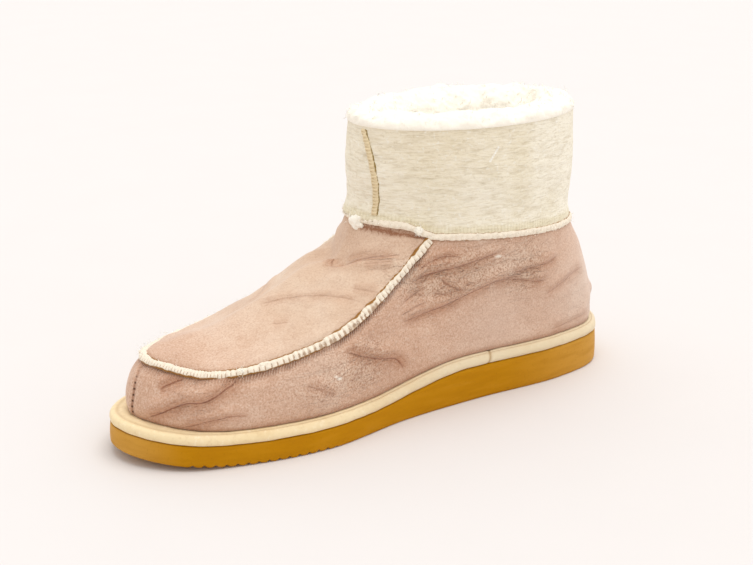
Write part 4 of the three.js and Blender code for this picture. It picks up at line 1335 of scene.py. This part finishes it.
class BOOT_OT_cuff(bpy.types.Operator):
    """Makes the cuff band of undyed skin"""

    bl_idname = "boot.cuff"
    bl_label = "Cuff"

    def execute(self, context):
        rows, columns = CUFF_GRID
        turn = turns_round(columns)
        way = np.linspace(0, 1, rows)[:, None]
        grid = cuff_point(turn, way)
        out = cuff_outward(turn)
        # Soft lumps ease off at both edges.
        ease = np.sin(np.pi * np.clip(way, 0.03, 0.97))
        shift = ease * (0.5 * soft_waves(grid, 52, 41) + 0.2 * soft_waves(grid * [1, 1, 2.5], 18, 43))
        # The band flares over the seam at the front, is pinched above the seam at the heel, and has
        # one slanting fold beside the front.
        front, back = bell(turn, 0.45), bell(np.abs(turn) - np.pi, 0.7)
        shift = shift + 1.6 * front * bell(way, 0.1) - back * bell(way - 0.16, 0.08)
        round_band = (turn - CUFF_FOLD["turn"]) * CUFF_FOLD["radius"]
        from_fold = round_band - (way * CUFF_FOLD["height"] - CUFF_FOLD["start"]) * CUFF_FOLD["slant"]
        shift = shift - CUFF_FOLD["depth"] * bell(from_fold, CUFF_FOLD["width"]) * bell(way - 0.1, 0.13)
        inside = (cuff_point(turn, np.linspace(0, 1, 8)[:, None]) - out * CUFF_WALL)[::-1]
        shell = np.concatenate([grid + out * shift[..., None], inside])
        # One pale scratch slants over the inner side. The band is tanner beside its front, towards
        # the rim.
        start, end = np.array(CUFF_SCRATCH, float)
        step = np.clip((grid - start) @ (end - start) / ((end - start) ** 2).sum(), 0, 1)
        from_scratch = np.linalg.norm(grid - start - step[..., None] * (end - start), axis=-1)
        marks = {
            "band_along": np.broadcast_to(lengths_along(grid[rows // 2]), grid.shape[:2]),
            "comb": 1 - smoothstep(way * CUFF_SIDE_HEIGHT, 3.2, 6.4) + np.zeros(columns),
            "scratch": bell(from_scratch, 0.7),
            "tan": bell(turn - 0.8, 0.9) * (0.25 + 0.75 * smoothstep(way, 0.3, 0.9)),
        }
        skin = undyed_skin(context.scene.boot_colours)
        marks = with_blank(marks, inside)
        add_piece("skin_cuff", shell, closed_faces(shell), skin, "cuff_skin", ["cuff"], marks)
        return {"FINISHED"}


class BOOT_OT_seams(bpy.types.Operator):
    """Makes the overcast seams of the apron, the collar and the cuff, with their wisps of wool"""

    bl_idname = "boot.seams"
    bl_label = "Seams"

    def execute(self, context):
        sizes, colours = context.scene.boot_sizes, context.scene.boot_colours
        rng = np.random.default_rng(sizes.wool_seed + 1)
        thread = overcast_thread("overcast_thread", colours.thread, colours.thread_gap, colours.thread_edge)
        pitch = sizes.stitch_pitch * MM
        apron = self.apron_line(sizes.apron_ridge * MM)
        collar = self.collar_line(sizes.collar_ridge * MM)
        stray = []
        for name, node, line, height, closed, steps, dark, toe_share, bars in (
            ("apron_overcast", "apron_seam", apron, 2.0, False, 1400, (0.1, 0.2), 0.55, 0.9),
            ("collar_overcast", "collar_seam", collar, 1.7, True, 1200, (0.12, 0.04), 1, 0.45),
        ):
            seam = self.spread(line, steps, closed)
            _, joint, _, out = seam
            # The dark edges, partly brown dye and partly painted shade, are on the inner side only. The
            # stitches lie closer round the toe and stand apart along the middle.
            inner = smoothstep(joint[:, 1], -10, 10)
            dark = [share * inner - 0.1 * (1 - inner) for share in dark]
            pitches = pitch * (1 + (toe_share - 1) * smoothstep(joint[:, 0], *TOE_GATHER))
            apart = stretch(joint[:, 0], *STITCHES_APART)
            points, triangles, marks = overcast_ridge(seam, height, pitches, closed, rng, dark, bars, apart)
            add_piece(name, points, triangles, thread, "seam_binding", [node], marks)
            stray.append(wisps(joint + out * height * 0.7, out, 400, 1.0, rng))
        # The tan thread's dark edges are partly brown and partly painted shade.
        tan = overcast_thread("tan_thread", linear("e3d0ab"), linear("c9b083"), linear("8f7640"))
        seam = self.spread(self.cuff_line(sizes.cuff_ridge * MM), 220, False)
        points, triangles, marks = overcast_ridge(seam, 1.7, pitch * 0.6, False, rng, (0.06, 0.13))
        add_piece("cuff_overcast", points, triangles, tan, "seam_binding", ["cuff_seam"], marks)
        wool = raw_fleece("tuft_wool", colours, 0.5)
        balls = [tuft(middle, size, 71 + k) for k, (middle, size) in enumerate(TUFTS)]
        add_piece("wool_tufts", *self.together(balls), wool, "fleece")
        for ball, _ in balls:
            stray.append(wisps(ball, normalised(ball - ball.mean(axis=0)), 50, 1.6, rng))
        fibre = raw_fleece("wool_wisps", colours, FIBRE_CURL, FIBRE_GLOW)
        add_piece("seam_wisps", *self.together(stray), fibre, "fleece", smooth=False)
        return {"FINISHED"}

    def together(self, meshes):
        """Points and faces of several meshes as one."""
        starts = np.cumsum([0] + [len(points) for points, _ in meshes[:-1]])
        faces = np.concatenate([faces + start for (_, faces), start in zip(meshes, starts)])
        return np.concatenate([points for points, _ in meshes]), faces

    def spread(self, line, steps, closed):
        """The seam's four lines at equal steps of its length."""
        lines = [np.concatenate([a, a[:1]]) if closed else a for a in line]
        at = lengths_along(lines[1])
        wanted = np.linspace(0, at[-1], steps, endpoint=not closed)
        *spaced, out = (np.stack([np.interp(wanted, at, c) for c in a.T], axis=1) for a in lines)
        return (*spaced, normalised(out))

    def apron_line(self, width):
        """From the inner end of the collar round the toe to the outer end, on the form without its
        lumps, drawn in with the tuck. Its stitches stand square to it."""
        form = UpperForm(SEAM_COLUMNS)
        keep = form.apron_length > 1
        near, joint, far = (form.at((form.seam_share + k * 0.01)[None])[0][keep] for k in (-1, 0, 1))
        tuck = throat_tuck(form.turn, (1 - form.seam_share) * form.length)[keep, None]
        steps = np.gradient(joint, axis=0)
        ahead = normalised(steps)
        sides = []
        for side, share in ((near, 0.42), (far, 0.58)):
            across = side - joint
            across = across - ahead * (across * ahead).sum(axis=1)[:, None]
            sides.append(joint + normalised(across) * width * share)
        below, above = sides
        out = normalised(np.cross(above - below, steps))
        return *(line - out * tuck for line in (below, joint, above)), out

    def collar_line(self, width):
        """Round the collar, from the upper's top to the cuff's foot."""
        form = UpperForm(SEAM_COLUMNS)
        near = form.at(np.full((1, SEAM_COLUMNS), 0.99))[0]
        below = form.collar + normalised(near - form.collar) * width / 2
        joint = cuff_point(form.turn, 0)
        above = cuff_point(form.turn, width / 2 / (CUFF_RIM["height"] - joint[:, 2]))
        return below, joint, above, cuff_outward(form.turn)

    def cuff_line(self, width):
        """Up the cuff beside its front, a little bowed."""
        share = np.linspace(0, 1, 200)
        way = 0.05 + 0.93 * share
        lean = CUFF_SEAM["foot_turn"] + (CUFF_SEAM["top_turn"] - CUFF_SEAM["foot_turn"]) * share
        turn = np.radians(lean + CUFF_SEAM["bow"] * np.sin(np.pi * share))
        half = width / 2 / COLLAR["half_width"]
        return *(cuff_point(turn + k * half, way) for k in (-1, 0, 1)), cuff_outward(turn)


class BOOT_OT_fleece(bpy.types.Operator):
    """Makes the fleece lining and the wool that rolls over the cuff's rim"""

    bl_idname = "boot.fleece"
    bl_label = "Fleece"

    def execute(self, context):
        sizes, colours = context.scene.boot_sizes, context.scene.boot_colours
        rng = np.random.default_rng(sizes.wool_seed)
        wool = raw_fleece("raw_fleece", colours, 0.45)
        fibre = raw_fleece("wool_fibre", colours, FIBRE_CURL, FIBRE_GLOW)
        self.rim(sizes, wool, fibre, rng)
        self.lining(wool, fibre, rng)
        return {"FINISHED"}

    def rim(self, sizes, wool, fibre, rng):
        """The wool over the rim: its section carried round the cuff, with soft lumps that swirl into
        each other where it is free of the band, and curled locks on what shows."""
        rows, columns = ROLL_GRID
        turn = turns_round(columns)
        section = evenly(smooth_line(FLEECE_SECTION, 10, closed=True), rows + 1)[:-1]
        inward, up = section.T
        roll = oval_point(CUFF_RIM, turn) + cuff_outward(turn) * -inward[:, None, None]
        roll[..., 2] += CUFF_RIM["height"] + up[:, None]
        over, around = (np.roll(roll, -1, axis) - np.roll(roll, 1, axis) for axis in (0, 1))
        normals = normalised(np.cross(over, around))
        free = np.clip(smoothstep(inward, 3.6, 7) + smoothstep(up, 0.4, 3), 0, 1)[:, None]
        swirl = roll + 1.6 * np.stack([soft_waves(roll, 9, seed) for seed in (54, 55, 56)], axis=-1)
        lumps = 1.1 * soft_waves(roll, 17, 51) + 0.6 * soft_waves(swirl, 7, 53)
        lumps += 0.25 * soft_waves(swirl, 3.4, 57)
        roll = roll + normals * (free * lumps)[..., None]
        add_piece("fleece_roll", roll, closed_faces(roll), wool, "fleece", ["fleece_collar"])
        open_rows = np.flatnonzero((up > 1.5) | (inward > 8))
        row, column = rng.choice(open_rows, ROLL_LOCKS), rng.integers(0, columns, ROLL_LOCKS)
        out = normals[row, column]
        length = sizes.wool_length * MM
        points, triangles = locks(
            roll[row, column] - out * 0.6, out, length, 0.22, rng, rings=4, lean=0.9, curl=1.5
        )
        add_piece("fleece_fibres", points, triangles, fibre, "fleece", smooth=False)

    def lining(self, wool, fibre, rng):
        """The pile inside: the upper's inside and then the cuff's, set in by the wall and the pile,
        with soft lumps, and short curled locks on what the mouth shows."""
        rows, columns = LINING_GRID
        form = UpperForm(columns)
        share = np.linspace(0.02, 1, rows)[:, None] + np.zeros(columns)
        lower = form.at(share)
        outward = grid_normals(lower)
        deep = UPPER_WALL + LINING_GAP + throat_tuck(form.turn, (1 - share) * form.length)
        lower = lower - outward * deep[..., None]
        band_out = cuff_outward(form.turn)
        band = cuff_point(form.turn, np.linspace(0.06, 0.62, 14)[:, None])
        band = band - band_out * (CUFF_WALL + LINING_GAP)
        back = np.concatenate([lower, band])
        normals = -np.concatenate([outward, np.broadcast_to(band_out, band.shape)])
        pile = 2.2 + 1.2 * soft_waves(back, 9, 61)
        pile = pile * smoothstep(np.linspace(0, 1, len(back))[:, None], 0, 0.1)
        face = back + normals * pile[..., None]
        shell = np.concatenate([back, face[::-1]])
        add_piece("fleece_lining", shell, closed_faces(shell), wool, "fleece")
        row = rng.integers(LINING_SHOWN, len(face), LINING_LOCKS)
        column = rng.integers(0, columns, LINING_LOCKS)
        points, triangles = locks(
            face[row, column], normals[row, column], 3.0, 0.6, rng, rings=4, lean=0.35, curl=1.3
        )
        add_piece("lining_fibres", points, triangles, fibre, "fleece", smooth=False)


class BOOT_OT_stage(bpy.types.Operator):
    """Sets the paper floor, the soft lights and the camera"""

    bl_idname = "boot.stage"
    bl_label = "Stage"

    def execute(self, context):
        scene = context.scene
        mesh = bpy.data.meshes.new("paper")
        corners = [(x * FLOOR_HALF, y * FLOOR_HALF, 0) for x, y in ((-1, -1), (1, -1), (1, 1), (-1, 1))]
        mesh.from_pydata(corners, [], [(0, 1, 2, 3)])
        mesh.materials.append(paper_floor())
        floor = bpy.data.objects.new("paper", mesh)
        scene.collection.objects.link(floor)
        camera = bpy.data.cameras.new("camera")
        camera.lens, camera.sensor_width, camera.sensor_fit = CAMERA["lens"], CAMERA["sensor"], "HORIZONTAL"
        camera.clip_start, camera.clip_end = CAMERA["clip"]
        stand = bpy.data.objects.new("camera", camera)
        stand.location = CAMERA["place"]
        stand.rotation_euler = np.radians(CAMERA["turn"])
        scene.collection.objects.link(stand)
        scene.camera = stand
        world = bpy.data.worlds.new("studio")
        world.use_nodes = True
        tree = world.node_tree
        sky = tree.nodes["Background"]
        sky.inputs["Color"].default_value = opaque(linear("fffdfb"))
        # White walls all round, the one towards the heel and behind brighter than the near one.
        way = add_node(tree, "ShaderNodeTexCoord", output="Generated")
        towards = {0: way, 1: WALLS["towards"]}
        lit = add_node(tree, "ShaderNodeVectorMath", towards, "Value", operation="DOT_PRODUCT")
        reach = {"From Min": -1, "From Max": 1, "To Min": WALLS["near"], "To Max": WALLS["far"]}
        strength = add_node(tree, "ShaderNodeMapRange", {"Value": lit, **reach})
        tree.links.new(strength, sky.inputs["Strength"])
        scene.world = world
        lamp = bpy.data.lights.new("top", "SUN")
        lamp.energy, lamp.angle = LAMP["energy"], np.radians(LAMP["angle"])
        lamp_stand = bpy.data.objects.new("top", lamp)
        lamp_stand.rotation_euler = np.radians(LAMP["turn"])
        scene.collection.objects.link(lamp_stand)
        scene.view_settings.view_transform = "Standard"
        return {"FINISHED"}


class BOOT_PT_sidebar(bpy.types.Panel):
    """Lists the boot's sizes, colours and pieces"""

    bl_label = "Slipper boot"
    bl_idname = "BOOT_PT_sidebar"
    bl_space_type = "VIEW_3D"
    bl_region_type = "UI"
    bl_category = "Boot"

    def draw(self, context):
        for group in (context.scene.boot_sizes, context.scene.boot_colours):
            for name in group.__annotations__:
                self.layout.prop(group, name)
        for operator in OPERATORS:
            self.layout.operator(operator.bl_idname)


OPERATORS = (BOOT_OT_stage, BOOT_OT_sole, BOOT_OT_upper, BOOT_OT_cuff, BOOT_OT_seams, BOOT_OT_fleece)
CLASSES = (BootSizes, BootColours, *OPERATORS, BOOT_PT_sidebar)


def register():
    for each in CLASSES:
        bpy.utils.register_class(each)
    bpy.types.Scene.boot_sizes = PointerProperty(type=BootSizes)
    bpy.types.Scene.boot_colours = PointerProperty(type=BootColours)


def unregister():
    del bpy.types.Scene.boot_colours
    del bpy.types.Scene.boot_sizes
    for each in reversed(CLASSES):
        bpy.utils.unregister_class(each)


def main():
    register()
    bpy.ops.boot.stage()
    bpy.ops.boot.sole()
    bpy.ops.boot.upper()
    bpy.ops.boot.cuff()
    bpy.ops.boot.seams()
    bpy.ops.boot.fleece()


if __name__ == "__main__":
    main()
